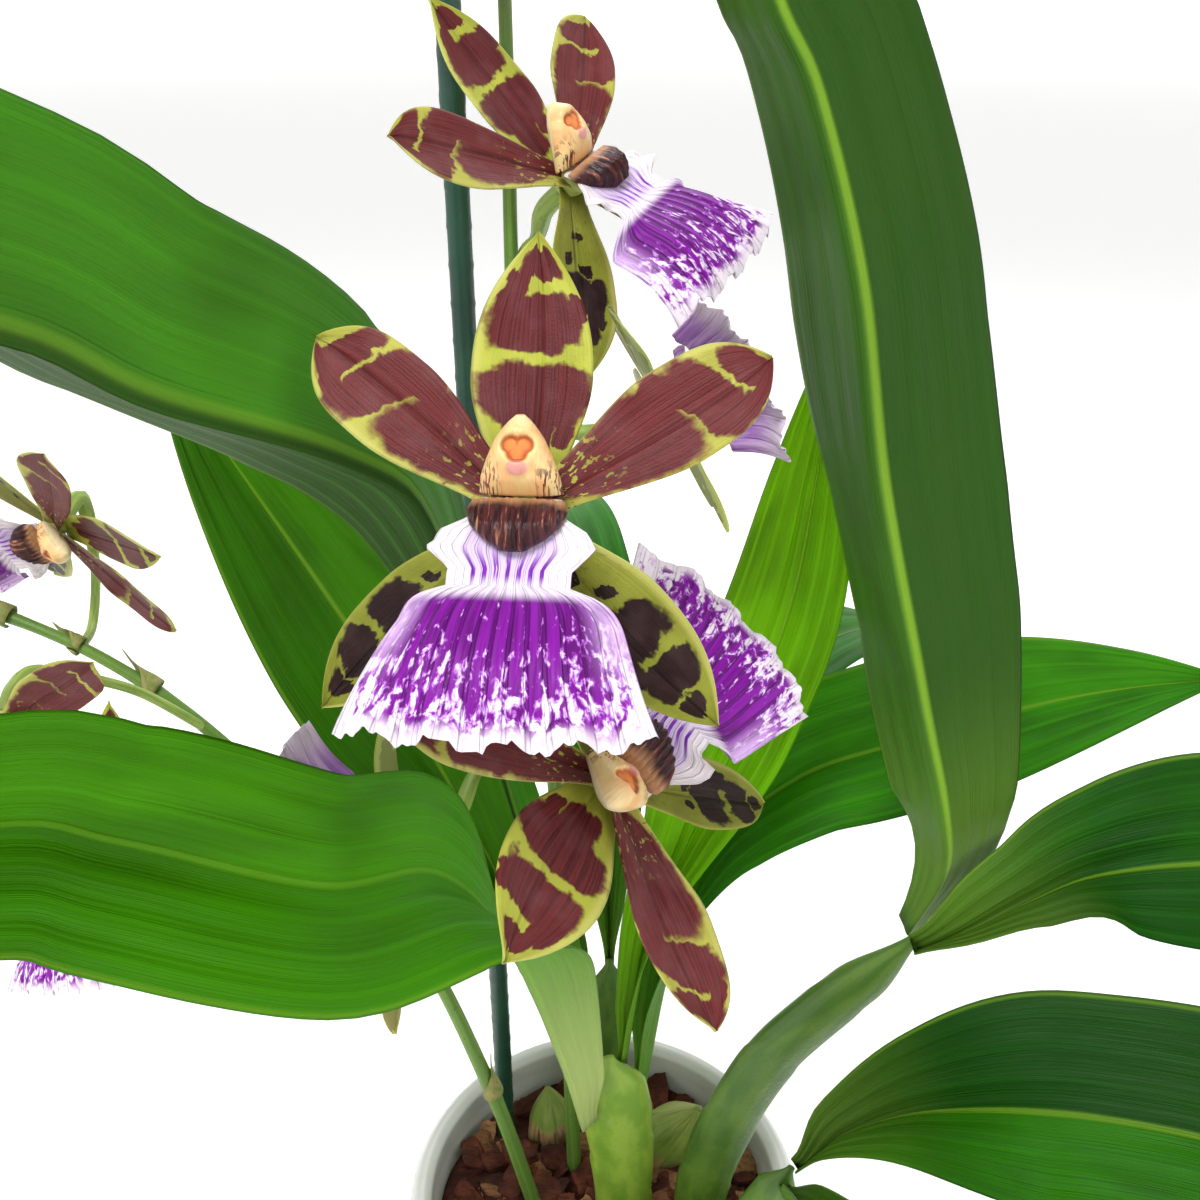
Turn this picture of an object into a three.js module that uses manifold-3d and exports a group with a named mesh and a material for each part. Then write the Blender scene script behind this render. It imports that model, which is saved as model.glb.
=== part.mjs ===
// A zygopetalum orchid in flower, potted in bark, with two flower spikes and a green stake.
// Millimetres, +Z up. The origin is the centre of the pot's underside, and -Y is the front.
import * as THREE from "three";
import { mergeVertices } from "three/addons/utils/BufferGeometryUtils.js";
import Module from "manifold-3d";

const wasm = await Module();
wasm.setup();

// Driving dimensions
const POT = {
  height: 110,
  rimRadius: 62,
  rimWidth: 7,
  rimHeight: 9,
  footRadius: 44,
  wall: 4,
  floor: 5,
  sides: 30,
};
const BARK = { drop: 13, relief: 5, chunk: 11, rings: 5 };
const BLADE = 0.8; // thickness of a leaf
const PETAL = 0.75; // thickness of a petal or a lip
const SEAT = 0.35; // clearance between pieces that touch
const STAKE = { x: -34, y: 30.5, radius: 3, foot: 68, top: 500, sides: 10 };
const STEM = { radius: 2.4, tip: 1.3, sides: 5, step: 18, hole: 0.65 };
const STALK = { radius: 1.3, ovary: 2.1, sides: 5, steps: 5, straight: 8 };
const BUD = { stalk: 0.35, whole: 1.6, swell: 0.26, steps: 5, sides: 5 };
const BRACT = { line: [[0, 0], [8, 2.6], [15, 6]], foot: 2.2, tip: 0.5 };
const CLIP = { heights: [205, 466], thickness: 4, bar: 2.4, wall: 1.5, slack: 0.2 };
const BLOOM = { hub: 3.2, back: -3.2, front: 2, root: 2 };

// Tepals of a bloom: the angle from the bloom's right, the reach, the width, the share of that width at the foot,
// the share of the reach at which it is widest, how bluntly it ends, its height in the bloom, and how far
// its tip leans forward.
const TEPALS = [
  { angle: 90, reach: 44.5, width: 20, foot: 0.5, widest: 0.46, blunt: 2.2, level: -1, lean: 4 },
  { angle: 142, reach: 45, width: 16.5, foot: 0.36, widest: 0.6, blunt: 4, level: 0.8, lean: 2 },
  { angle: 38, reach: 45, width: 16.5, foot: 0.36, widest: 0.6, blunt: 4, level: 0.8, lean: 2 },
  { angle: 225, reach: 45, width: 18.5, foot: 0.42, widest: 0.5, blunt: 2.6, level: -1, lean: -3 },
  { angle: 315, reach: 45, width: 18.5, foot: 0.42, widest: 0.5, blunt: 2.6, level: -1, lean: -3 },
];

// The lip: half widths and heights down its claw, then how its middle lobe spreads, bulges and rolls back.
const LIP = {
  claw: 0.34,
  top: 1.4,
  waist: -13.5,
  end: -37,
  halves: [6.6, 7, 11.4, 13, 9.4, 9.4],
  shoulder: 6.8,
  flare: 7.4,
  rise: [4.4, 11],
  reach: 9,
  bulge: 2.6,
  roll: 7,
  frill: 0.9,
};

// The column and the callus: sections that stand across the bloom's height, with the height, how far out they are,
// and their half width and half depth.
const COLUMN = [
  { y: 2.6, z: 3.9, half: 6.6, deep: 2.5 },
  { y: 4.8, z: 5.8, half: 6.2, deep: 3.1 },
  { y: 7.4, z: 7.3, half: 5.1, deep: 3.3 },
  { y: 10, z: 8.4, half: 3.8, deep: 3 },
  { y: 12.2, z: 8.9, half: 2.1, deep: 2 },
  { y: 13.6, z: 8.9, half: 0.7, deep: 0.8 },
];
const CALLUS = [
  { y: -7.6, z: 9.6, half: 1.8, deep: 1.7 },
  { y: -5.8, z: 9.2, half: 4.6, deep: 2.8 },
  { y: -3.6, z: 8.4, half: 6.9, deep: 3.4 },
  { y: -1.2, z: 7.2, half: 7.9, deep: 3.2 },
  { y: 0.8, z: 6.2, half: 7.2, deep: 2.2 },
];

// Blooms: where each one's tepals meet, the way that it faces, the way that its top sepal points, its size, the
// share of its spike at which its stalk leaves, and the points that the stalk passes. A fine one has more facets.
const BLOOMS = [
  { at: [-13.3, -79.8, 374.6], faces: [-0.09, -0.82, 0.57], top: [0.05, 0.57, 0.82], size: 1, fine: true,
    from: 0.52, stalk: [[-15, -15, 350], [-14, -46, 360]] },
  { at: [0, -84, 326.5], faces: [0.6, -0.27, 0.75], top: [-0.36, -0.93, -0.05], size: 1, fine: true,
    from: 0.36, stalk: [[-9, -22, 280], [-9, -54, 300]] },
  { at: [-50, -33, 267], faces: [-0.95, 0.05, -0.25], top: [0.3, 0.05, -0.95], size: 0.86,
    from: 0.34, stalk: [[-21, 14, 268], [-31, -8, 276], [-35, -24, 274]] },
  { at: [-7.2, 13.4, 412.8], faces: [0.56, -0.54, 0.62], top: [-0.67, 0.14, 0.73], size: 1,
    from: 0.61, stalk: [[-20, 30, 392], [-16, 30, 398]] },
  { at: [12, -9, 370], faces: [0.866, 0.227, 0.445], top: [-0.129, 0.962, -0.239], size: 0.78,
    from: 0.6, stalk: [[-15, 14, 358], [-7, -3, 362]] },
  { at: [-150, 43, 319], faces: [-0.41, -0.81, -0.41], top: [0.88, -0.48, 0.05], size: 0.92,
    from: 0.72, stalk: [[-145, 42, 290], [-147, 55, 302]] },
  { at: [-145, -14, 292], faces: [0.02, -0.92, -0.39], top: [0.98, 0.09, -0.17], size: 0.92,
    from: 0.6, stalk: [[-126, 16, 284], [-142, 4, 296]] },
  { at: [-132, -2, 243], faces: [-0.4, -0.7, 0.55], top: [-0.1, 0.6, 0.8], size: 0.9,
    from: 0.5, stalk: [[-112, 20, 254], [-124, 12, 246]] },
];
const ON_MAIN_SPIKE = 5; // the blooms after these stand on the left spike

// Spikes: the line of each stem, its buds (a share of the stem's length, the way that the bud points, and its
// length) and the shares of the length at which a bract clasps the stem.
const SPIKES = [
  {
    name: "spike_main",
    line: [[-10, 16, 94], [-12, 29, 160], [-14, 34, 220], [-17, 32, 280], [-21, 22, 335], [-22, 28, 385],
      [-22, 34, 430], [-22, 35, 470], [-22, 31, 510], [-20, 27, 545]],
    buds: [
      { share: 0.79, to: [-0.35, -0.8, 0.5], length: 22 },
      { share: 0.87, to: [0.7, -0.3, 0.6], length: 19 },
      { share: 0.94, to: [-0.3, 0.75, 0.6], length: 15 },
      { share: 1, to: [0.1, -0.2, 1], length: 11 },
    ],
    bracts: [0.14, 0.3, 0.46, 0.6, 0.73, 0.9],
  },
  {
    name: "spike_left",
    line: [[-21, -2, 94], [-36, 4, 150], [-60, 14, 205], [-104, 22, 260], [-137, 28, 286], [-173, 32, 302],
      [-206, 38, 310], [-232, 36, 308]],
    buds: [
      { share: 0.88, to: [-0.3, 0.5, 0.8], length: 16 },
      { share: 0.94, to: [-0.5, -0.6, 0.5], length: 14 },
      { share: 1, to: [-0.9, 0, -0.2], length: 11 },
    ],
    bracts: [0.16, 0.34, 0.5, 0.65, 0.78],
  },
];

// Pseudobulbs: centre, half widths, how many ribs stand on them, and their tilt.
const BULBS = [
  { name: "pseudobulb_1", at: [20, 26, 88], half: [14, 12, 25], ribs: 7, tilt: [12, 20] },
  { name: "pseudobulb_2", at: [-17, 32, 88], half: [9, 8, 17], ribs: 7, tilt: [-8, -6] },
  { name: "pseudobulb_3", at: [8, -31, 88], half: [12, 10, 20], ribs: 7, tilt: [-12, 10] },
  { name: "pseudobulb_4", at: [-30, -21, 86], half: [9, 8, 15], ribs: 7, tilt: [-6, -12] },
];

// Leafy shoots: the line of the clasping leaf bases, and the half width and half depth of that bundle along it.
const SHOOTS = [
  {
    name: "shoot_centre",
    line: [[6, -2, 92], [6, -3, 118], [4, -4, 146], [1, -6, 172]],
    flat: [1, 0.2, 0],
    half: [9, 10, 11, 9],
    deep: [6, 6, 4.6, 2.6],
  },
  {
    name: "shoot_right",
    line: [[30, -4, 92], [31, -7, 118], [36, -12, 150], [46, -17, 183], [59, -22, 208], [73, -24, 227],
      [81, -25, 238]],
    flat: [0.8, 0.2, -0.5],
    half: [8, 9, 9.5, 9.5, 9.5, 9, 7.5],
    deep: [6, 6, 5.5, 5, 5, 4.4, 3.4],
  },
  {
    name: "shoot_front",
    line: [[34, -24, 92], [40, -27, 118], [46, -30, 140], [52, -32, 158]],
    flat: [0.8, -0.3, -0.3],
    half: [7.5, 8, 7, 5.4],
    deep: [5, 5, 4.2, 3],
  },
  {
    name: "shoot_back",
    line: [[0, 40, 92], [1, 46, 122], [2, 52, 154]],
    flat: [1, 0.1, 0],
    half: [8, 8, 5.6],
    deep: [5.5, 5, 3.2],
  },
];

// Leaves: the full width, how far and how often the edges ripple, between which shares of its length the leaf
// swells to that width, the share of it at the root, and the share of the length after which it tapers. Then the
// line of the midrib, the way that the upper face looks and the angle by which each half is folded up, both at
// even steps from root to tip.
const LEAVES = [
  {
    name: "leaf_1_upper_left", width: 63, ripple: 1.2, waves: 2.2, swell: [0.3, 0.6], taper: 0.76,
    line: [[-5, -7, 162], [-16, -12, 230], [-29, -22, 305], [-34, -44, 357], [-45, -59, 375],
      [-68, -83, 393], [-81, -98, 407], [-100, -132, 420], [-120, -172, 414], [-138, -206, 392]],
    faces: [[0.5, 0.85, 0], [0.35, 0.9, 0], [0.2, 0.9, 0.1], [-0.3, 0.85, 0.2], [-0.56, 0.77, 0.29],
      [-0.35, 0.76, 0.55], [-0.3, 0.78, 0.55], [-0.35, 0.7, 0.6], [-0.4, 0.6, 0.6]],
    folds: [74, 70, 64, 58, 53, 46, 44, 42, 40],
  },
  {
    name: "leaf_2_lower_left", width: 46, ripple: 1.4, waves: 2.6, swell: [0.05, 0.45], neck: 0.44,
    taper: 0.6,
    line: [[-6, -12, 148], [-12, -28, 196], [-23, -40, 246], [-36, -55, 279], [-54, -80, 297],
      [-84, -93, 318], [-99, -101, 328], [-140, -118, 330], [-180, -134, 308]],
    faces: [[0.6, 0.8, 0], [0.4, 0.85, 0.3], [0.76, -0.4, 0.5], [0.66, -0.6, 0.42], [0.3, -0.5, 0.8]],
    folds: [74, 36, 12, 26, 14],
  },
  {
    name: "leaf_3_back_left", width: 46, ripple: 1.4, waves: 2, swell: [0.2, 0.6],
    line: [[-7, -2, 142], [-13, 4, 166], [-27, 11, 212], [-42, 13, 250], [-56, 16, 277], [-78, 16, 322],
      [-95, 18, 354], [-108, 26, 374]],
    faces: [[0.9, -0.3, 0.1], [0.6, -0.8, 0.1], [0.38, -0.91, 0.17], [0.3, -0.9, 0.3]],
    folds: [74, 34, 8, 10],
  },
  {
    name: "leaf_4_right_tall", width: 58, ripple: 1.2, waves: 2.6, swell: [0, 0.3], neck: 0.45,
    taper: 0.42,
    line: [[78, -21, 233], [84, -22, 253], [80, -24, 274], [71, -22, 304], [56, -24, 356],
      [45, -35, 400], [33, -44, 433], [24, -49, 449], [12, -51, 484], [-2, -45, 530]],
    faces: [[0.4, 0.9, 0.1], [0.45, 0.89, 0.06], [0.5, 0.85, 0.15], [0.5, 0.84, 0.22],
      [0.38, 0.86, 0.34], [0.36, 0.86, 0.36], [0.35, 0.84, 0.42], [0.3, 0.8, 0.5], [0.3, 0.8, 0.5]],
    folds: [60, 36, 45, 45, 46, 45, 42, 40, 40],
  },
  {
    name: "leaf_5_right_back", width: 33, ripple: 1, waves: 2.4, swell: [0, 0.5],
    line: [[6, -2, 166], [13, 6, 208], [24, 12, 240], [37, 16, 275], [47.6, 22, 307], [53, 29, 339],
      [58, 40, 378]],
    faces: [[-0.8, -0.6, 0.2], [-0.4, -0.9, 0.15], [-0.2, -0.95, 0.2]],
    folds: [68, 20, 12],
  },
  {
    name: "leaf_6_right_level", width: 47, ripple: 1.4, waves: 2, swell: [0, 0.5],
    line: [[12, -3, 158], [20, 13, 192], [34, 25, 226], [56, 31, 246], [84, 37, 254], [128, 50, 259],
      [162, 58, 260], [194, 63, 259]],
    faces: [[-0.9, -0.3, 0.2], [-0.5, -0.7, 0.5], [-0.2, -0.75, 0.62], [-0.1, -0.6, 0.78]],
    folds: [70, 30, 10, 8],
  },
  {
    name: "leaf_7_right_low", width: 50, ripple: 1.6, waves: 2.2, swell: [0, 0.35], neck: 0.42,
    line: [[79, -28, 234], [91, -30, 243], [104, -28, 250], [122, -24, 256], [150, -28, 264],
      [192, -34, 266], [238, -42, 248], [272, -50, 222]],
    faces: [[-0.8, -0.3, 0.5], [-0.25, -0.6, 0.75], [-0.1, -0.5, 0.86], [0.3, -0.4, 0.86]],
    folds: [60, 18, 12, 8],
  },
  {
    name: "leaf_8_lower_right", width: 54, ripple: 1.6, waves: 2, swell: [0, 0.35],
    line: [[55, -32, 158], [66, -35, 176], [86, -42, 194], [118, -56, 210], [158, -74, 214],
      [204, -94, 194], [240, -110, 168]],
    faces: [[-0.7, -0.3, 0.6], [-0.3, -0.45, 0.84], [-0.1, -0.4, 0.9], [0.4, -0.3, 0.86]],
    folds: [60, 16, 12, 8],
  },
  {
    name: "leaf_9_front_right", width: 44, ripple: 1.6, waves: 2.2, swell: [0, 0.4],
    line: [[50, -35, 150], [54, -56, 166], [66, -88, 174], [86, -124, 168], [108, -160, 144],
      [126, -186, 112]],
    faces: [[0, 0.8, 0.6], [0.1, 0.3, 0.95], [0.4, -0.4, 0.86]],
    folds: [62, 16, 10],
  },
  {
    name: "leaf_10_back", width: 46, ripple: 1.6, waves: 2.2, swell: [0, 0.4],
    line: [[2, 55, 150], [1, 70, 196], [-4, 94, 238], [-14, 134, 266], [-22, 184, 266], [-30, 228, 238]],
    faces: [[0, -0.9, 0.4], [0, -0.5, 0.86], [0, 0.3, 0.95]],
    folds: [66, 18, 10],
  },
  {
    name: "leaf_11_back_right", width: 44, ripple: 1.6, waves: 2, swell: [0, 0.4],
    line: [[8, 52, 142], [24, 68, 178], [42, 98, 214], [76, 136, 228], [114, 174, 218], [144, 206, 188]],
    faces: [[-0.6, -0.6, 0.4], [-0.2, -0.3, 0.92], [0.3, 0.3, 0.9]],
    folds: [66, 16, 10],
  },
  {
    name: "leaf_12_back_left", width: 44, ripple: 1.6, waves: 2, swell: [0, 0.4],
    line: [[-6, 49, 138], [-20, 68, 160], [-44, 92, 170], [-80, 116, 162], [-116, 136, 136],
      [-142, 150, 104]],
    faces: [[0.6, -0.6, 0.4], [0.2, -0.3, 0.92], [-0.3, 0.3, 0.9]],
    folds: [66, 16, 10],
  },
];
const LEAF = { along: 9, across: 4, neck: 0.3, taper: 0.6, tipHalf: 0.8 };

const COLOURS = {
  pot: ["#e4e7e6", 0.3],
  bark: ["#5a3528", 0.95],
  bulb: ["#6d8b35", 0.5],
  shoot: ["#8fae4a", 0.5],
  leaf: ["#3c8a1e", 0.42],
  stem: ["#4d7a2c", 0.5],
  stake: ["#16352b", 0.45],
  clip: ["#2c7a3a", 0.4],
  tepal: ["#7d3a3c", 0.5],
  lip: ["#8d22b4", 0.5],
  column: ["#efd9a0", 0.5],
};

const V = (p) => new THREE.Vector3(...p);
const clamp01 = (x) => Math.min(1, Math.max(0, x));
const smooth = (a, b, x) => {
  const t = clamp01((x - a) / (b - a));
  return t * t * (3 - 2 * t);
};
const radians = THREE.MathUtils.degToRad;
const lineThrough = (points) => new THREE.CatmullRomCurve3(points.map(V), false, "catmullrom", 0.5);

// The value at u of a list of numbers or of points spread evenly from 0 to 1.
function between(list, u) {
  const at = clamp01(u) * (list.length - 1);
  const i = Math.min(list.length - 2, Math.floor(at));
  const k = at - i;
  if (Array.isArray(list[0])) return V(list[i]).lerp(V(list[i + 1]), k);
  return list[i] + (list[i + 1] - list[i]) * k;
}

// Closed meshes to solids and back

function solidOf(geometry) {
  const bare = geometry.clone();
  bare.deleteAttribute("normal");
  bare.deleteAttribute("uv");
  const merged = mergeVertices(bare, 1e-4);
  return new wasm.Manifold(
    new wasm.Mesh({
      numProp: 3,
      vertProperties: Float32Array.from(merged.attributes.position.array),
      triVerts: Uint32Array.from(merged.index.array),
    }),
  );
}

function geometryOf(solid) {
  const mesh = solid.getMesh();
  const positions = new Float32Array(mesh.numVert * 3);
  for (let i = 0; i < mesh.numVert; i++)
    positions.set(mesh.vertProperties.subarray(i * mesh.numProp, i * mesh.numProp + 3), i * 3);
  const geometry = new THREE.BufferGeometry();
  geometry.setAttribute("position", new THREE.BufferAttribute(positions, 3));
  geometry.setIndex(new THREE.BufferAttribute(mesh.triVerts, 1));
  geometry.computeVertexNormals();
  return geometry;
}

// A loose scrap that a cut leaves is dropped.
function mainBody(solid) {
  return solid.decompose().reduce((most, body) => (body.volume() > most.volume() ? body : most));
}

function joined(solids) {
  return solids.reduce((all, solid) => all.add(solid));
}

function fromFaces(positions, faces) {
  const geometry = new THREE.BufferGeometry();
  const numbers = positions.flatMap((p) => [p.x, p.y, p.z]);
  geometry.setAttribute("position", new THREE.Float32BufferAttribute(numbers, 3));
  geometry.setIndex(faces);
  return solidOf(geometry);
}

// A thin blade about the surface (u, v): u runs along it from 0 to 1, and v across it from -1 to 1.
// Both faces are split into triangles alike, so that they never cross where the blade waves.
function blade(surface, along, across, thickness) {
  const columns = across + 1;
  const front = [];
  const back = [];
  const small = 1e-3;
  for (let i = 0; i <= along; i++)
    for (let j = 0; j <= across; j++) {
      const u = i / along;
      const v = (2 * j) / across - 1;
      const du = surface(Math.min(1, u + small), v).sub(surface(Math.max(0, u - small), v));
      const dv = surface(u, Math.min(1, v + small)).sub(surface(u, Math.max(-1, v - small)));
      const normal = du.cross(dv).normalize().multiplyScalar(thickness / 2);
      const middle = surface(u, v);
      front.push(middle.clone().add(normal));
      back.push(middle.sub(normal));
    }
  const n = front.length;
  const faces = [];
  for (let i = 0; i < along; i++)
    for (let j = 0; j < across; j++) {
      const a = i * columns + j;
      const b = a + columns;
      const corners = j < across / 2 ? [a, b, b + 1, a, b + 1, a + 1] : [a, b, a + 1, b, b + 1, a + 1];
      faces.push(...corners);
      for (let k = 0; k < 6; k += 3) faces.push(corners[k] + n, corners[k + 2] + n, corners[k + 1] + n);
    }
  const wall = (p, q) => faces.push(p, p + n, q + n, p, q + n, q);
  for (let i = 0; i < along; i++) {
    wall(i * columns, (i + 1) * columns);
    wall((i + 1) * columns + across, i * columns + across);
  }
  for (let j = 0; j < across; j++) {
    wall(j + 1, j);
    wall(along * columns + j, along * columns + j + 1);
  }
  return fromFaces([...front, ...back], faces);
}

// A closed body whose section at each station is a ring of points: ring(i) gives them.
function loft(stations, sides, ring) {
  const positions = [];
  for (let i = 0; i < stations; i++) positions.push(...ring(i));
  const faces = [];
  for (let i = 0; i < stations - 1; i++)
    for (let j = 0; j < sides; j++) {
      const k = (j + 1) % sides;
      const a = i * sides;
      const b = a + sides;
      faces.push(a + j, a + k, b + k, a + j, b + k, b + j);
    }
  const last = (stations - 1) * sides;
  for (let j = 1; j < sides - 1; j++) faces.push(0, j + 1, j, last, last + j, last + j + 1);
  return fromFaces(positions, faces);
}

// A round stem along a line, with a radius for each share of its length.
function stemAlong(line, radiusAt, steps, sides) {
  let across = null;
  return loft(steps + 1, sides, (i) => {
    const u = i / steps;
    const centre = line.getPointAt(u);
    const tangent = line.getTangentAt(u);
    across ??= Math.abs(tangent.z) < 0.9 ? V([0, 0, 1]) : V([1, 0, 0]);
    across = across.clone().addScaledVector(tangent, -across.dot(tangent)).normalize();
    const other = tangent.clone().cross(across);
    return Array.from({ length: sides }, (_, j) => {
      const turn = (2 * Math.PI * j) / sides;
      return centre
        .clone()
        .addScaledVector(across, radiusAt(u) * Math.cos(turn))
        .addScaledVector(other, radiusAt(u) * Math.sin(turn));
    });
  });
}

// The pot: a tapered wall with a thick rounded rim, open at the top.

function potRadiusInside(z) {
  const { height, rimRadius, rimWidth, rimHeight, footRadius, wall, floor } = POT;
  const [low, high] = [footRadius - wall + 1, rimRadius - rimWidth];
  return low + ((high - low) * (z - floor)) / (height - rimHeight - floor);
}

function makePot() {
  const { height, rimRadius, rimWidth, rimHeight, footRadius, wall, floor, sides } = POT;
  const inner = rimRadius - rimWidth;
  const profile = [
    [0, 0],
    [footRadius, 0],
    [inner + wall, height - rimHeight - 2],
    [rimRadius, height - rimHeight + 1],
    [rimRadius, height - 3],
    [rimRadius - 2.5, height],
    [inner + 2, height],
    [inner, height - 2],
    [inner, height - rimHeight],
    [potRadiusInside(floor), floor],
    [0, floor],
  ];
  const outline = profile.map(([r, z]) => new THREE.Vector2(r, z));
  return solidOf(new THREE.LatheGeometry(outline, sides).rotateX(Math.PI / 2));
}

// The bark: the pot's filling, with its top raised into chunks by a formula.

function chunkHeight(x, y) {
  const cell = BARK.chunk;
  const [column, row] = [Math.floor(x / cell), Math.floor(y / cell)];
  let nearest = Infinity;
  let height = 0;
  for (let i = column - 1; i <= column + 1; i++)
    for (let j = row - 1; j <= row + 1; j++) {
      const a = Math.sin(i * 127.1 + j * 311.7) * 43758.5453;
      const b = Math.sin(i * 269.5 + j * 183.3) * 43758.5453;
      const [fx, fy] = [a - Math.floor(a), b - Math.floor(b)];
      const away = Math.hypot((i + fx) * cell - x, (j + fy) * cell - y);
      if (away < nearest) [nearest, height] = [away, fx * 0.6 + fy * 0.4];
    }
  return BARK.relief * (height - nearest / cell / 1.6);
}

function makeBark() {
  const spokes = POT.sides;
  const { rings, drop } = BARK;
  const top = POT.height - drop;
  const skirt = top - BARK.relief - 3;
  const bottom = POT.floor + SEAT;
  const circle = (radius, shift, heightAt) =>
    Array.from({ length: spokes }, (_, s) => {
      const turn = (2 * Math.PI * (s + shift)) / spokes;
      const [x, y] = [radius * Math.cos(turn), radius * Math.sin(turn)];
      return V([x, y, heightAt(x, y)]);
    });
  const edge = potRadiusInside(skirt) - SEAT;
  const positions = [V([0, 0, top + chunkHeight(0, 0)])];
  for (let r = 1; r <= rings; r++)
    positions.push(...circle((edge * r) / rings, (r % 2) / 2, (x, y) => top + chunkHeight(x, y)));
  positions.push(...circle(edge, 0.5, () => skirt));
  positions.push(...circle(potRadiusInside(bottom) - SEAT, 0, () => bottom));
  const faces = [];
  const ring = (r) => 1 + (r - 1) * spokes;
  for (let s = 0; s < spokes; s++) {
    const t = (s + 1) % spokes;
    faces.push(0, 1 + s, 1 + t);
    for (let r = 1; r <= rings + 1; r++) {
      const [a, b] = [ring(r), ring(r + 1)];
      if (r % 2) faces.push(a + s, b + t, a + t, a + s, b + s, b + t);
      else faces.push(a + s, b + s, a + t, b + s, b + t, a + t);
    }
    const low = ring(rings + 2);
    if (s > 0 && s < spokes - 1) faces.push(low, low + s + 1, low + s);
  }
  return fromFaces(positions, faces);
}

// Pseudobulbs, with ribs that run from foot to tip. Grown by a clearance they cut their own seats in the bark.

function makeBulb({ at, half, ribs, tilt }, grow = 0) {
  const sides = ribs * 2;
  const stations = 6;
  const turn = new THREE.Euler(radians(tilt[0]), radians(tilt[1]), 0);
  return loft(stations, sides, (i) => {
    const share = 0.06 + (0.9 * i) / (stations - 1);
    const swell = Math.sin(Math.PI * Math.pow(share, 0.8));
    return Array.from({ length: sides }, (_, j) => {
      const angle = (2 * Math.PI * j) / sides;
      const rib = 1 + (j % 2 ? -0.05 : 0.05);
      const reach = (h) => h * swell * rib + grow;
      const height = (share * 2 - 0.55) * half[2];
      return V([reach(half[0]) * Math.cos(angle), reach(half[1]) * Math.sin(angle), height])
        .applyEuler(turn)
        .add(V(at));
    });
  });
}

// Leafy shoots: the bundle of clasping leaf bases that the blades leave.

function makeShoot({ line, flat, half, deep }, grow = 0) {
  const path = lineThrough(line);
  const stations = 6;
  const sides = 10;
  return loft(stations, sides, (i) => {
    const u = i / (stations - 1);
    const centre = path.getPointAt(u);
    const tangent = path.getTangentAt(u);
    const wide = V(flat).addScaledVector(tangent, -V(flat).dot(tangent)).normalize();
    const thin = tangent.clone().cross(wide);
    return Array.from({ length: sides }, (_, j) => {
      const angle = (2 * Math.PI * j) / sides;
      return centre
        .clone()
        .addScaledVector(wide, (between(half, u) + grow) * Math.cos(angle))
        .addScaledVector(thin, (between(deep, u) + grow) * Math.sin(angle));
    });
  });
}

// Leaves: a channel at the root that opens into a long blade with a waved edge.

function leafOutline(u, { swell, neck = LEAF.neck, taper = LEAF.taper }) {
  const body = neck + (1 - neck) * smooth(swell[0], swell[1], u);
  const past = clamp01((u - taper) / (1 - taper));
  return body * (1 - Math.pow(past, 1.8));
}

function leafSurface(leaf) {
  const { line, width, faces, folds, ripple, waves } = leaf;
  const rib = lineThrough(line);
  return (u, v) => {
    const tangent = rib.getTangentAt(u);
    const look = between(faces, u);
    const up = look.addScaledVector(tangent, -look.dot(tangent)).normalize();
    const side = up.clone().cross(tangent);
    const half = Math.max(LEAF.tipHalf, (width / 2) * leafOutline(u, leaf));
    const fold = radians(between(folds, u));
    const out = Math.abs(v);
    const edge = v > 0 ? 0.9 : 3.4;
    const wave = ripple * v * v * smooth(0.15, 0.45, u) * Math.sin(2 * Math.PI * waves * u + edge);
    return rib
      .getPointAt(u)
      .addScaledVector(side, half * v * Math.cos(fold) * (1.08 - 0.08 * out))
      .addScaledVector(up, half * Math.sin(fold) * out * (1.25 - 0.25 * out) + wave);
  };
}

// Blooms, in a frame of their own: +Z out of the face, +Y towards the top sepal.

function tepalSurface({ angle, reach, width, foot, widest, blunt, level, lean }) {
  const out = V([Math.cos(radians(angle)), Math.sin(radians(angle)), 0]);
  const side = V([-out.y, out.x, 0]);
  return (u, v) => {
    const past = clamp01((u - widest) / (1 - widest));
    const outline = (foot + (1 - foot) * smooth(0, widest, u)) * (1 - Math.pow(past, blunt));
    const half = Math.max(0.5, (width / 2) * outline);
    const rise = level + lean * u * u + 0.12 * half * v * v - 0.5 * (1 - Math.abs(v));
    return out
      .clone()
      .multiplyScalar(BLOOM.root + (reach - BLOOM.root) * u)
      .addScaledVector(side, half * v)
      .add(V([0, 0, rise]));
  };
}

// The lip: s runs across it, and t from its root, past two small side lobes and the waist, to its frilled end.
function lipSurface(t, s) {
  const claw = clamp01(t / LIP.claw);
  const lobe = clamp01((t - LIP.claw) / (1 - LIP.claw));
  const spread = LIP.shoulder * (1 - Math.exp(-lobe / 0.07)) + LIP.flare * Math.pow(lobe, 1.25);
  const half = between(LIP.halves, claw) + (lobe > 0 ? spread : 0);
  const ripple = LIP.frill * Math.pow(lobe, 5) * Math.sin(s * 15);
  const drop = (LIP.end - LIP.waist) * lobe + 1.6 * s * s * lobe + ripple;
  const out = Math.abs(s);
  const y = LIP.top + (LIP.waist - LIP.top) * claw + drop;
  const cup = 0.16 * half * s * s * Math.sin(Math.PI * claw);
  const arch = LIP.bulge * Math.sin(Math.PI * lobe) + LIP.reach * Math.pow(lobe, 0.85);
  const roll = LIP.roll * smooth(0.45, 1, out) * smooth(0, 0.25, lobe) * (1.15 - 0.6 * lobe);
  const z = LIP.rise[0] + (LIP.rise[1] - LIP.rise[0]) * claw + cup + arch - roll + ripple * 1.4;
  return V([half * s, y, z]);
}

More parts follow.
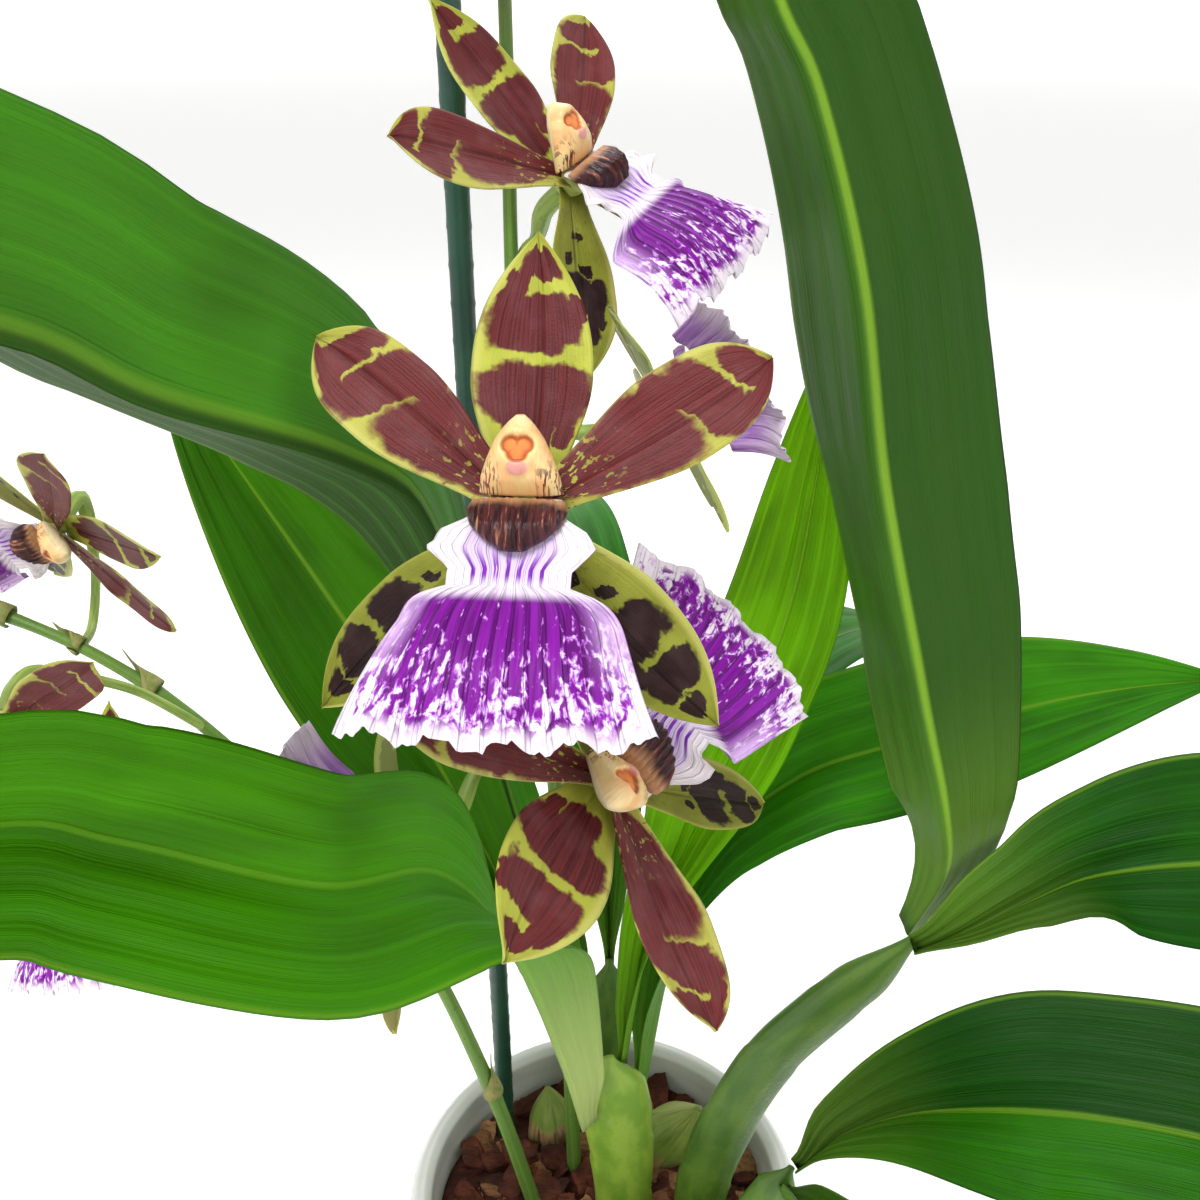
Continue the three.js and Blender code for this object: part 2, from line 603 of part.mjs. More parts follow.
// A fleshy body through flat sections that stand one above the other, lean back and may be ridged in front.
function fleshy(sections, sides, lean, ridge) {
  return loft(sections.length, sides, (i) => {
    const { y, z, half, deep } = sections[i];
    return Array.from({ length: sides }, (_, j) => {
      const angle = (2 * Math.PI * (j + 0.5)) / sides;
      const [across, front] = [Math.cos(angle), Math.sin(angle)];
      const swell = front > 0 ? 1 + ridge * Math.cos(j * Math.PI) : 1;
      return V([-half * across, y - lean * deep * front, z + deep * front * swell]);
    });
  });
}

function bloomFrame({ at, faces, top, size }) {
  const out = V(faces).normalize();
  const side = V(top).cross(out).normalize();
  const up = out.clone().cross(side);
  return new THREE.Matrix4().makeBasis(side, up, out).scale(V([size, size, size])).setPosition(V(at));
}

function placed(solid, matrix) {
  return solid.transform(matrix.elements);
}

function makeBloom(bloom) {
  const frame = bloomFrame(bloom);
  const depth = BLOOM.front - BLOOM.back;
  const prism = new THREE.CylinderGeometry(BLOOM.hub, BLOOM.hub, depth, 6).rotateX(Math.PI / 2);
  const hub = solidOf(prism.translate(0, 0, (BLOOM.front + BLOOM.back) / 2));
  const [along, across] = bloom.fine ? [6, 4] : [4, 2];
  const tepals = joined([hub, ...TEPALS.map((tepal) => blade(tepalSurface(tepal), along, across, PETAL))]);
  const lip = blade(lipSurface, bloom.fine ? 9 : 4, bloom.fine ? 10 : 6, PETAL);
  const callus = fleshy(CALLUS, bloom.fine ? 12 : 6, 0, bloom.fine ? 0.1 : 0);
  return {
    tepals: placed(tepals, frame),
    lip: placed(lip.add(callus), frame),
    column: placed(fleshy(COLUMN, bloom.fine ? 10 : 6, 0.45, 0), frame),
  };
}

// Spikes: a stem with the bloom stalks, buds and clasping bracts that grow on it.

function makeBud(root, to, length) {
  const tip = V(root).addScaledVector(V(to).normalize(), length * BUD.whole);
  const past = (u) => (u - BUD.stalk) / (1.01 - BUD.stalk);
  const radiusAt = (u) =>
    u < BUD.stalk ? STALK.radius * 0.8 : 0.3 + length * BUD.swell * Math.sin(Math.PI * past(u));
  return stemAlong(lineThrough([root, tip.toArray()]), radiusAt, BUD.steps, BUD.sides);
}

function makeBract(line, share) {
  const root = line.getPointAt(share);
  const tangent = line.getTangentAt(share);
  const away = V([Math.cos(share * 40), Math.sin(share * 40), 0.2]);
  const side = away.addScaledVector(tangent, -away.dot(tangent)).normalize();
  const place = (far, off) => root.clone().addScaledVector(tangent, far).addScaledVector(side, off);
  const route = BRACT.line.map(([far, off]) => place(far, off).toArray());
  return stemAlong(lineThrough(route), (u) => BRACT.tip + BRACT.foot * (1 - u), 2, 4);
}

function makeSpike({ line, buds, bracts }, blooms) {
  const path = lineThrough(line);
  const steps = Math.round(path.getLength() / STEM.step);
  const stem = stemAlong(path, (u) => STEM.radius + (STEM.tip - STEM.radius) * u, steps, STEM.sides);
  const stalks = blooms.map(({ at, faces, size, from, stalk }) => {
    const behind = (far) => V(at).addScaledVector(V(faces).normalize(), -far).toArray();
    const end = (SEAT - BLOOM.back) * size;
    const root = path.getPointAt(from).toArray();
    const route = [root, ...stalk, behind(end + STALK.straight), behind(end)];
    const radiusAt = (u) => STALK.radius + (STALK.ovary - STALK.radius) * smooth(0.45, 0.8, u);
    return stemAlong(lineThrough(route), radiusAt, STALK.steps, STALK.sides);
  });
  const pointAt = (share) => path.getPointAt(share).toArray();
  return joined([
    stem,
    ...stalks,
    ...buds.map(({ share, to, length }) => makeBud(pointAt(share), to, length)),
    ...bracts.map((share) => makeBract(path, share)),
  ]);
}

// The stake and the two clips that hold the main spike to it.

function makeStake(grow = 0) {
  const { x, y, radius, foot, top, sides } = STAKE;
  const length = top - foot;
  const stake = new THREE.CylinderGeometry(radius + grow, radius + grow, length, sides).rotateX(Math.PI / 2);
  return solidOf(stake.translate(x, y, foot + length / 2));
}

// A clip is a flat bar with a ring round the stake and a ring round the stem.
function makeClip(height, { line }) {
  const path = lineThrough(line);
  let share = 0;
  while (path.getPointAt(share).z < height) share += 0.002;
  const stem = path.getPointAt(share);
  const stake = V([STAKE.x, STAKE.y, stem.z]);
  const gap = stem.clone().sub(stake);
  const middle = stake.clone().lerp(stem, 0.5).toArray();
  const bar = new THREE.BoxGeometry(gap.length(), CLIP.bar, CLIP.thickness).rotateZ(Math.atan2(gap.y, gap.x));
  const ring = (centre, radius) => {
    const disc = new THREE.CylinderGeometry(radius, radius, CLIP.thickness, 8).rotateX(Math.PI / 2);
    return solidOf(disc.translate(...centre.toArray()));
  };
  const grown = SEAT + CLIP.wall;
  const rings = [ring(stake, STAKE.radius + grown), ring(stem, STEM.radius + grown)];
  const body = joined([solidOf(bar.translate(...middle)), ...rings]);
  const along = path.getTangentAt(share);
  const ends = [-6, 6].map((far) => stem.clone().addScaledVector(along, far).toArray());
  const stemHole = stemAlong(lineThrough(ends), () => STEM.radius + SEAT + CLIP.slack, 1, 8);
  return body.subtract(makeStake(SEAT)).subtract(stemHole);
}

// Assembly

const plant = new THREE.Group();

function addNode(name, solid, look) {
  const [color, roughness] = COLOURS[look];
  const material = new THREE.MeshStandardMaterial({ color, roughness, metalness: 0 });
  const mesh = new THREE.Mesh(geometryOf(solid), material);
  mesh.name = name;
  plant.add(mesh);
}

const mainSpike = SPIKES[0];
const mainBlooms = BLOOMS.slice(0, ON_MAIN_SPIKE);
const bloomsOn = (spike) => (spike === mainSpike ? mainBlooms : BLOOMS.slice(ON_MAIN_SPIKE));

const bulbs = BULBS.map((bulb) => ({ ...bulb, solid: makeBulb(bulb), seat: makeBulb(bulb, SEAT) }));
const shoots = SHOOTS.map((shoot) => ({ ...shoot, solid: makeShoot(shoot), seat: makeShoot(shoot, SEAT) }));
const spikes = SPIKES.map((spike) => ({ ...spike, solid: makeSpike(spike, bloomsOn(spike)) }));

let bark = makeBark().subtract(makeStake(SEAT));
for (const { seat } of [...bulbs, ...shoots]) bark = bark.subtract(seat);
for (const { line } of SPIKES)
  bark = bark.subtract(stemAlong(lineThrough(line), () => STEM.radius + STEM.hole, 30, 6));

addNode("pot", makePot(), "pot");
addNode("bark", mainBody(bark), "bark");
addNode("stake", makeStake(), "stake");
for (const { name, solid } of bulbs) addNode(name, solid, "bulb");
for (const { name, solid } of shoots) addNode(name, solid, "shoot");
for (const { name, solid } of spikes) addNode(name, solid, "stem");
addNode("clip_lower", makeClip(CLIP.heights[0], mainSpike), "clip");
addNode("clip_upper", makeClip(CLIP.heights[1], mainSpike), "clip");

for (const leaf of LEAVES) {
  let made = blade(leafSurface(leaf), LEAF.along, LEAF.across, BLADE);
  for (const { seat } of shoots) made = made.subtract(seat);
  addNode(leaf.name, mainBody(made), "leaf");
}

BLOOMS.forEach((bloom, index) => {
  const made = makeBloom(bloom);
  for (const piece of ["tepals", "lip", "column"])
    addNode(`bloom_${index + 1}_${piece}`, made[piece], piece === "tepals" ? "tepal" : piece);
});

export default plant;
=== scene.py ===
import math

import bpy
import numpy as np
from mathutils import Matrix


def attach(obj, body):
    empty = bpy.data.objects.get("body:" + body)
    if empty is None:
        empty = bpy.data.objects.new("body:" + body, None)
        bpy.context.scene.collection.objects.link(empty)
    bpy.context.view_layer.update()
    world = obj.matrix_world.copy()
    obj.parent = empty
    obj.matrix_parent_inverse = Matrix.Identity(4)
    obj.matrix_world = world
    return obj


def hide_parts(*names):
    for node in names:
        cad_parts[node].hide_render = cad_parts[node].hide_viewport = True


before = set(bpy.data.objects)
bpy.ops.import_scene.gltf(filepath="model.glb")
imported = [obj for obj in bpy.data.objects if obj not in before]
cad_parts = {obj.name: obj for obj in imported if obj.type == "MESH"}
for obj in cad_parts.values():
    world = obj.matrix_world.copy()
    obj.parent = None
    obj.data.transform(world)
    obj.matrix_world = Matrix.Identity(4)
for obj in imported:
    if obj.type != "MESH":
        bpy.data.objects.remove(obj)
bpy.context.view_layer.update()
MM = 0.001
TAU = 2 * math.pi

# Dimensions, as in the frame. A few were moved to fit the photo: the reach of the dorsal sepal, the reach and
# angle of the right petal and the width of the lower sepals. Leaves are narrower at the root and shoots at the
# end, and stalks reach closer to their blooms.

POT = {"height": 110, "rim": 62, "rim_width": 7, "rim_height": 9, "foot": 44, "wall": 4, "floor": 5}
BARK = {"drop": 13, "bed": 2.5, "chips": 420, "sizes": (2.6, 6.6), "seed": 5}
SEAT = 0.35
BLADE = 0.8
PETAL = 0.75
STAKE = {"x": -34, "y": 30.5, "radius": 3, "foot": 68, "top": 500, "dome": 2.6, "ring": 9}
STEM = {"radius": 2.4, "tip": 1.3}
STALK = {"radius": 1.3, "ovary": 2.1, "straight": 8, "longer": 0.2, "grooves": 6}
SHEATH = {"inset": 0.45, "narrows": 0.84, "by": 0.8}
TIP_CROWDING = 1.7
BUD = {"stalk": 0.35, "whole": 1.6, "swell": 0.26}
CLIP = {"heights": {"clip_lower": 205, "clip_upper": 466}, "thickness": 4, "bar": 2.4, "wall": 1.5}
HUB = {"radius": 3.2, "back": -3.2, "front": 2, "root": 2}

# Tepals: angle, reach, width, share of width at the foot, widest share, bluntness, level, lean.
TEPALS = {
    "dorsal": (90, 46, 20, 0.5, 0.46, 2.2, -1, 4),
    "petal_left": (142, 45, 16.5, 0.36, 0.6, 4, 0.8, 2),
    "petal_right": (34, 46, 16.5, 0.36, 0.6, 4, 0.8, 2),
    "sepal_left": (225, 45, 16, 0.42, 0.5, 2.6, -1, -3),
    "sepal_right": (315, 45, 16, 0.42, 0.5, 2.6, -1, -3),
}
LIP = {"claw": 0.34, "top": 1.4, "waist": -13.5, "end": -37, "halves": [6.6, 7, 11.4, 13, 9.4, 9.4],
       "shoulder": 6.8, "flare": 7.4, "rise": (4.4, 11), "reach": 9, "bulge": 2.6, "roll": 7, "frill": 0.9}
# Sections of the column and the callus: height, how far out, half width, half depth.
COLUMN = [(2.6, 3.9, 6.6, 2.5), (4.8, 5.8, 6.2, 3.1), (7.4, 7.3, 5.1, 3.3), (10, 8.4, 3.8, 3),
          (12.2, 8.9, 2.1, 2), (13.6, 8.9, 0.7, 0.8)]
CALLUS = [(-7.6, 9.6, 1.8, 1.7), (-5.8, 9.2, 4.6, 2.8), (-3.6, 8.4, 6.9, 3.4), (-1.2, 7.2, 7.9, 3.2),
          (0.8, 6.2, 7.2, 2.2)]

# Blooms: place, the way it faces, the way its top sepal points, size, share of the stem, points of its stalk.
BLOOMS = [
    ((-13.3, -79.8, 374.6), (-0.09, -0.82, 0.57), (0.05, 0.57, 0.82), 1, 0.52,
     [(-15, -15, 350), (-14, -46, 360)]),
    ((0, -84, 326.5), (0.6, -0.27, 0.75), (-0.36, -0.93, -0.05), 1, 0.36,
     [(-9, -22, 280), (-9, -54, 300)]),
    ((-50, -33, 267), (-0.95, 0.05, -0.25), (0.3, 0.05, -0.95), 0.86, 0.34,
     [(-21, 14, 268), (-31, -8, 276), (-35, -24, 274)]),
    ((-7.2, 13.4, 412.8), (0.56, -0.54, 0.62), (-0.67, 0.14, 0.73), 1, 0.61,
     [(-20, 30, 392), (-16, 30, 398)]),
    ((12, -9, 370), (0.866, 0.227, 0.445), (-0.129, 0.962, -0.239), 0.78, 0.6,
     [(-15, 14, 358), (-7, -3, 362)]),
    ((-150, 43, 319), (-0.41, -0.81, -0.41), (0.88, -0.48, 0.05), 0.92, 0.72,
     [(-145, 42, 290), (-147, 55, 302)]),
    ((-145, -14, 292), (0.02, -0.92, -0.39), (0.98, 0.09, -0.17), 0.92, 0.6,
     [(-126, 16, 284), (-142, 4, 296)]),
    ((-132, -2, 243), (-0.4, -0.7, 0.55), (-0.1, 0.6, 0.8), 0.9, 0.5,
     [(-112, 20, 254), (-124, 12, 246)]),
]
ON_MAIN_SPIKE = 5

SPIKES = {
    "spike_main": {
        "line": [(-10, 16, 94), (-12, 29, 160), (-14, 34, 220), (-17, 32, 280), (-21, 22, 335),
                 (-22, 28, 385), (-22, 34, 430), (-22, 35, 470), (-22, 31, 510), (-20, 27, 545)],
        "buds": [(0.79, (-0.35, -0.8, 0.5), 22), (0.87, (0.7, -0.3, 0.6), 19), (0.94, (-0.3, 0.75, 0.6), 15),
                 (1, (0.1, -0.2, 1), 11)],
        "bracts": [0.14, 0.3, 0.46, 0.6, 0.73, 0.9],
        "blooms": BLOOMS[:ON_MAIN_SPIKE],
    },
    "spike_left": {
        "line": [(-21, -2, 94), (-36, 4, 150), (-60, 14, 205), (-104, 22, 260), (-137, 28, 286),
                 (-173, 32, 302), (-206, 38, 310), (-232, 36, 308)],
        "buds": [(0.88, (-0.3, 0.5, 0.8), 16), (0.94, (-0.5, -0.6, 0.5), 14), (1, (-0.9, 0, -0.2), 11)],
        "bracts": [0.16, 0.34, 0.5, 0.65, 0.78],
        "blooms": BLOOMS[ON_MAIN_SPIKE:],
    },
}

# Pseudobulbs: centre, half widths, ribs, tilt.
BULBS = {
    "pseudobulb_1": ((20, 26, 88), (14, 12, 25), 7, (12, 20)),
    "pseudobulb_2": ((-17, 32, 88), (9, 8, 17), 7, (-8, -6)),
    "pseudobulb_3": ((8, -31, 88), (12, 10, 20), 7, (-12, 10)),
    "pseudobulb_4": ((-30, -21, 86), (9, 8, 15), 7, (-6, -12)),
}

# Shoots: line, the way the bundle is wide, half widths and half depths along it.
SHOOTS = {
    "shoot_centre": ([(6, -2, 92), (6, -3, 118), (4, -4, 146), (1, -6, 172)], (1, 0.2, 0), [9, 10, 11, 9],
                     [6, 6, 4.6, 2.6]),
    "shoot_right": ([(30, -4, 92), (31, -7, 118), (36, -12, 150), (46, -17, 183), (59, -22, 208),
                     (73, -24, 227), (81, -25, 238)], (0.8, 0.2, -0.5),
                    [8, 9, 9.5, 9.5, 9.5, 9, 7.5], [6, 6, 5.5, 5, 5, 4.4, 3.4]),
    "shoot_front": ([(34, -24, 92), (40, -27, 118), (46, -30, 140), (52, -32, 158)], (0.8, -0.3, -0.3),
                    [7.5, 8, 7, 5.4], [5, 5, 4.2, 3]),
    "shoot_back": ([(0, 40, 92), (1, 46, 122), (2, 52, 154)], (1, 0.1, 0), [8, 8, 5.6], [5.5, 5, 3.2]),
}

# Leaves: width, ripple, waves, where the blade swells, neck, taper, midrib, the way its face looks, folds;
# then the colours of its two halves (v below and above zero) as sRGB. Some of these colours are painted
# light and shade: the dark halves of leaves 1, 4 and 8 are painted shade, leaf 4's pale grey-green half is a
# painted sheen, and the bright yellow-green of leaf 5 is painted light shining through it from behind.
LEAVES = {
    "leaf_1_upper_left": (
        63, 1.2, 2.2, (0.3, 0.6), 0.3, 0.76,
        [(-5, -7, 162), (-16, -12, 230), (-29, -22, 305), (-34, -44, 357), (-45, -59, 375), (-68, -83, 393),
         (-81, -98, 407), (-100, -132, 420), (-120, -172, 414), (-138, -206, 392)],
        [(0.5, 0.85, 0), (0.35, 0.9, 0), (0.2, 0.9, 0.1), (-0.3, 0.85, 0.2), (-0.56, 0.77, 0.29),
         (-0.35, 0.76, 0.55), (-0.3, 0.78, 0.55), (-0.35, 0.7, 0.6), (-0.4, 0.6, 0.6)],
        [74, 70, 64, 58, 53, 46, 44, 42, 40], (12, 52, 0), (52, 124, 8)),
    "leaf_2_lower_left": (
        46, 1.4, 2.6, (0.05, 0.45), 0.44, 0.6,
        [(-6, -12, 148), (-12, -28, 196), (-23, -40, 246), (-36, -55, 279), (-54, -80, 297), (-84, -93, 318),
         (-99, -101, 328), (-140, -118, 330), (-180, -134, 308)],
        [(0.6, 0.8, 0), (0.4, 0.85, 0.3), (0.76, -0.4, 0.5), (0.66, -0.6, 0.42), (0.3, -0.5, 0.8)],
        [74, 36, 12, 26, 14], (68, 142, 0), (56, 126, 0)),
    "leaf_3_back_left": (
        46, 1.4, 2, (0.2, 0.6), 0.3, 0.6,
        [(-7, -2, 142), (-13, 4, 166), (-27, 11, 212), (-42, 13, 250), (-56, 16, 277), (-78, 16, 322),
         (-95, 18, 354), (-108, 26, 374)],
        [(0.9, -0.3, 0.1), (0.6, -0.8, 0.1), (0.38, -0.91, 0.17), (0.3, -0.9, 0.3)],
        [74, 34, 8, 10], (54, 112, 0), (44, 98, 0)),
    "leaf_4_right_tall": (
        58, 1.2, 2.6, (0, 0.3), 0.45, 0.42,
        [(78, -21, 233), (84, -22, 253), (80, -24, 274), (71, -22, 304), (56, -24, 356), (45, -35, 400),
         (33, -44, 433), (24, -49, 449), (12, -51, 484), (-2, -45, 530)],
        [(0.4, 0.9, 0.1), (0.45, 0.89, 0.06), (0.5, 0.85, 0.15), (0.5, 0.84, 0.22), (0.38, 0.86, 0.34),
         (0.36, 0.86, 0.36), (0.35, 0.84, 0.42), (0.3, 0.8, 0.5), (0.3, 0.8, 0.5)],
        [60, 36, 45, 45, 46, 45, 42, 40, 40], (50, 98, 20), (10, 58, 0)),
    "leaf_5_right_back": (
        33, 1, 2.4, (0, 0.5), 0.3, 0.6,
        [(6, -2, 166), (13, 6, 208), (24, 12, 240), (37, 16, 275), (47.6, 22, 307), (53, 29, 339),
         (58, 40, 378)],
        [(-0.8, -0.6, 0.2), (-0.4, -0.9, 0.15), (-0.2, -0.95, 0.2)],
        [68, 20, 12], (96, 160, 0), (104, 168, 0)),
    "leaf_6_right_level": (
        47, 1.4, 2, (0, 0.5), 0.3, 0.6,
        [(12, -3, 158), (20, 13, 192), (34, 25, 226), (56, 31, 246), (84, 37, 254), (128, 50, 259),
         (162, 58, 260), (194, 63, 259)],
        [(-0.9, -0.3, 0.2), (-0.5, -0.7, 0.5), (-0.2, -0.75, 0.62), (-0.1, -0.6, 0.78)],
        [70, 30, 10, 8], (44, 118, 0), (54, 130, 4)),
    "leaf_7_right_low": (
        50, 1.6, 2.2, (0, 0.35), 0.42, 0.6,
        [(79, -28, 234), (91, -30, 243), (104, -28, 250), (122, -24, 256), (150, -28, 264), (192, -34, 266),
         (238, -42, 248), (272, -50, 222)],
        [(-0.8, -0.3, 0.5), (-0.25, -0.6, 0.75), (-0.1, -0.5, 0.86), (0.3, -0.4, 0.86)],
        [60, 18, 12, 8], (14, 66, 0), (20, 78, 0)),
    "leaf_8_lower_right": (
        54, 1.6, 2, (0, 0.35), 0.3, 0.6,
        [(55, -32, 158), (66, -35, 176), (86, -42, 194), (118, -56, 210), (158, -74, 214), (204, -94, 194),
         (240, -110, 168)],
        [(-0.7, -0.3, 0.6), (-0.3, -0.45, 0.84), (-0.1, -0.4, 0.9), (0.4, -0.3, 0.86)],
        [60, 16, 12, 8], (40, 108, 2), (10, 58, 0)),
    "leaf_9_front_right": (
        44, 1.6, 2.2, (0, 0.4), 0.3, 0.6,
        [(50, -35, 150), (54, -56, 166), (66, -88, 174), (86, -124, 168), (108, -160, 144), (126, -186, 112)],
        [(0, 0.8, 0.6), (0.1, 0.3, 0.95), (0.4, -0.4, 0.86)],
        [62, 16, 10], (16, 76, 2), (24, 90, 4)),
    "leaf_10_back": (
        46, 1.6, 2.2, (0, 0.4), 0.3, 0.6,
        [(2, 55, 150), (1, 70, 196), (-4, 94, 238), (-14, 134, 266), (-22, 184, 266), (-30, 228, 238)],
        [(0, -0.9, 0.4), (0, -0.5, 0.86), (0, 0.3, 0.95)],
        [66, 18, 10], (36, 104, 8), (46, 116, 10)),
    "leaf_11_back_right": (
        44, 1.6, 2, (0, 0.4), 0.3, 0.6,
        [(8, 52, 142), (24, 68, 178), (42, 98, 214), (76, 136, 228), (114, 174, 218), (144, 206, 188)],
        [(-0.6, -0.6, 0.4), (-0.2, -0.3, 0.92), (0.3, 0.3, 0.9)],
        [66, 16, 10], (32, 98, 6), (42, 110, 8)),
    "leaf_12_back_left": (
        44, 1.6, 2, (0, 0.4), 0.3, 0.6,
        [(-6, 49, 138), (-20, 68, 160), (-44, 92, 170), (-80, 116, 162), (-116, 136, 136), (-142, 150, 104)],
        [(0.6, -0.6, 0.4), (0.2, -0.3, 0.92), (-0.3, 0.3, 0.9)],
        [66, 16, 10], (40, 108, 8), (48, 118, 10)),
}

# How strongly the midrib and the lines beside it show, then the colour of the leaf's root and how far that
# reaches. Other leaves, and what a row leaves out, take the material's own.
VEINS = {
    "leaf_1_upper_left": (0.35, 0.5),
    "leaf_2_lower_left": (0.25, 0.45, (186, 200, 124), 0.95),
    "leaf_4_right_tall": (0.95, 0.6),
    "leaf_7_right_low": (0.5, 1.0),
    "leaf_8_lower_right": (0.5, 1.4),
}

# The room: lights with their place, aim, size and power, then the camera as fitted to the photo, then the
# floor and wall with how strongly they glow, and the strength of the sky.
LIGHTS = {
    "key": ((-0.35, -0.55, 1.45), (0, 0, 0.3), 0.6, 15),
    "fill": ((0.9, -0.6, 0.7), (0, 0, 0.28), 0.9, 2),
    "back": ((0.1, 0.9, 1.3), (0, 0, 0.3), 0.8, 8),
}
CAMERA = {"place": (-0.0013, -0.2524, 0.4473), "tip": 63, "half_picture": 600, "focal_length": 1178}
FLOOR = {"reach": 30.0, "glow": 0.3}
WALL = {"sides": 64, "far": 14.0, "high": 9.0, "glow": 0.5}
SKY = 0.36

# Small maths


def clamp01(x):
    return np.clip(x, 0, 1)


def smooth(a, b, x):
    t = clamp01((np.asarray(x, float) - a) / (b - a))
    return t * t * (3 - 2 * t)


def unit(v):
    v = np.asarray(v, float)
    return v / np.maximum(1e-12, np.linalg.norm(v, axis=-1, keepdims=True))


def between(values, u):
    """The value at u of numbers or points spread evenly from 0 to 1."""
    values = np.asarray(values, float)
    at = clamp01(u) * (len(values) - 1)
    i = np.minimum(len(values) - 2, np.floor(at).astype(int))
    k = at - i
    if values.ndim == 2:
        k = k[..., None]
    return values[i] * (1 - k) + values[i + 1] * k


def turns(count):
    """Angles evenly round a circle."""
    return np.arange(count) / count * TAU


def unrolled(columns, shares):
    """Where the corners of a closed grid lie on its blade: round it from 0 to 1, along it at these shares."""
    return np.stack(np.meshgrid(np.linspace(0, 1, columns + 1), shares), -1)


def without(v, tangent):
    """v without its part along tangent, of length one."""
    return unit(v - np.sum(v * tangent, axis=-1, keepdims=True) * tangent)


class Line:
    """A smooth line through points, by share of its length."""

    def __init__(self, points):
        p = np.array(points, float)
        self.count = len(p) - 1
        self.ends = np.vstack([2 * p[0] - p[1], p, 2 * p[-1] - p[-2]])
        self.t = np.linspace(0, 1, 241)
        steps = np.linalg.norm(np.diff(self.at(self.t), axis=0), axis=1)
        self.lengths = np.concatenate([[0], np.cumsum(steps)])
        self.length = self.lengths[-1]

    def at(self, t):
        p = np.asarray(t, float) * self.count
        i = np.clip(np.floor(p).astype(int), 0, self.count - 1)
        w = (p - i)[..., None]
        p0, p1, p2, p3 = (self.ends[i + k] for k in range(4))
        a, b = 0.5 * (p2 - p0), 0.5 * (p3 - p1)
        return p1 + a * w + (-3 * p1 + 3 * p2 - 2 * a - b) * w**2 + (2 * p1 - 2 * p2 + a + b) * w**3

    def point(self, u):
        return self.at(np.interp(np.asarray(u, float) * self.length, self.lengths, self.t))

    def tangent(self, u):
        t = np.interp(np.asarray(u, float) * self.length, self.lengths, self.t)
        return unit(self.at(np.minimum(1, t + 1e-4)) - self.at(np.maximum(0, t - 1e-4)))


def value_noise(p, seed=0):
    """Smooth noise from 0 to 1 at points of any shape (..., 3)."""
    cell = np.floor(p).astype(np.int64)
    f = p - cell
    f = f * f * (3 - 2 * f)
    total = 0
    for dx in (0, 1):
        for dy in (0, 1):
            for dz in (0, 1):
                n = ((cell[..., 0] + dx) * 127.1 + (cell[..., 1] + dy) * 311.7 + (cell[..., 2] + dz) * 74.7
                     + seed * 19.3)
                h = np.sin(n) * 43758.5453
                h = h - np.floor(h)
                w = np.where(dx, f[..., 0], 1 - f[..., 0]) * np.where(dy, f[..., 1], 1 - f[..., 1])
                total = total + h * w * np.where(dz, f[..., 2], 1 - f[..., 2])
    return total


# Meshes


class Piece:
    """Surfaces gathered into one object. Each corner has a place on its blade and two numbers of its own."""

    def __init__(self, name):
        self.name = name
        self.points, self.faces, self.blade, self.kind, self.slots = [], [], [], [], []
        self.count = 0
        self.materials = []

    def grid(self, points, blade, material, kind=(0, 0), wrap=False, caps=False):
        """A grid of points (rows, columns, 3); blade gives (rows, columns or one more, 2)."""
        if material not in self.materials:
            self.materials.append(material)
        slot = self.materials.index(material)
        rows, columns = points.shape[:2]
        kind = np.broadcast_to(np.asarray(kind, float), blade.shape)
        i, j = np.meshgrid(np.arange(rows - 1), np.arange(columns if wrap else columns - 1), indexing="ij")
        i, j = i.ravel(), j.ravel()
        k = (j + 1) % columns
        base = self.count
        below, above = i * columns, (i + 1) * columns
        quads = np.stack([below + j, below + k, above + k, above + j], 1) + base
        corners = [(i, j), (i, j + 1), (i + 1, j + 1), (i + 1, j)]
        self.blade.append(np.stack([blade[a, b] for a, b in corners], 1).reshape(-1, 2))
        self.kind.append(np.stack([kind[a, b] for a, b in corners], 1).reshape(-1, 2))
        self.faces += quads.tolist()
        self.points.append(points.reshape(-1, 3))
        self.slots += [slot] * len(quads)
        self.count += rows * columns
        if caps:
            for row, turn in ((0, -1), (rows - 1, 1)):
                ring = (row * columns + np.arange(columns) + base)[::turn]
                self.faces.append(ring.tolist())
                self.blade.append(blade[row, :columns][::turn])
                self.kind.append(kind[row, :columns][::turn])
                self.slots.append(slot)

    def make(self, replaces, slot):
        mesh = bpy.data.meshes.new(self.name)
        points = np.vstack(self.points) * MM
        mesh.from_pydata(points.tolist(), [], self.faces)
        for name, data in (("blade", self.blade), ("kind", self.kind)):
            layer = mesh.uv_layers.new(name=name)
            layer.uv.foreach_set("vector", np.vstack(data).astype(np.float32).ravel())
        mesh.polygons.foreach_set("use_smooth", [True] * len(self.faces))
        for material in self.materials:
            mesh.materials.append(material)
        mesh.polygons.foreach_set("material_index", self.slots)
        mesh.update()
        piece = bpy.data.objects.new(self.name, mesh)
        bpy.context.scene.collection.objects.link(piece)
        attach(piece, "root")
        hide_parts(*replaces)


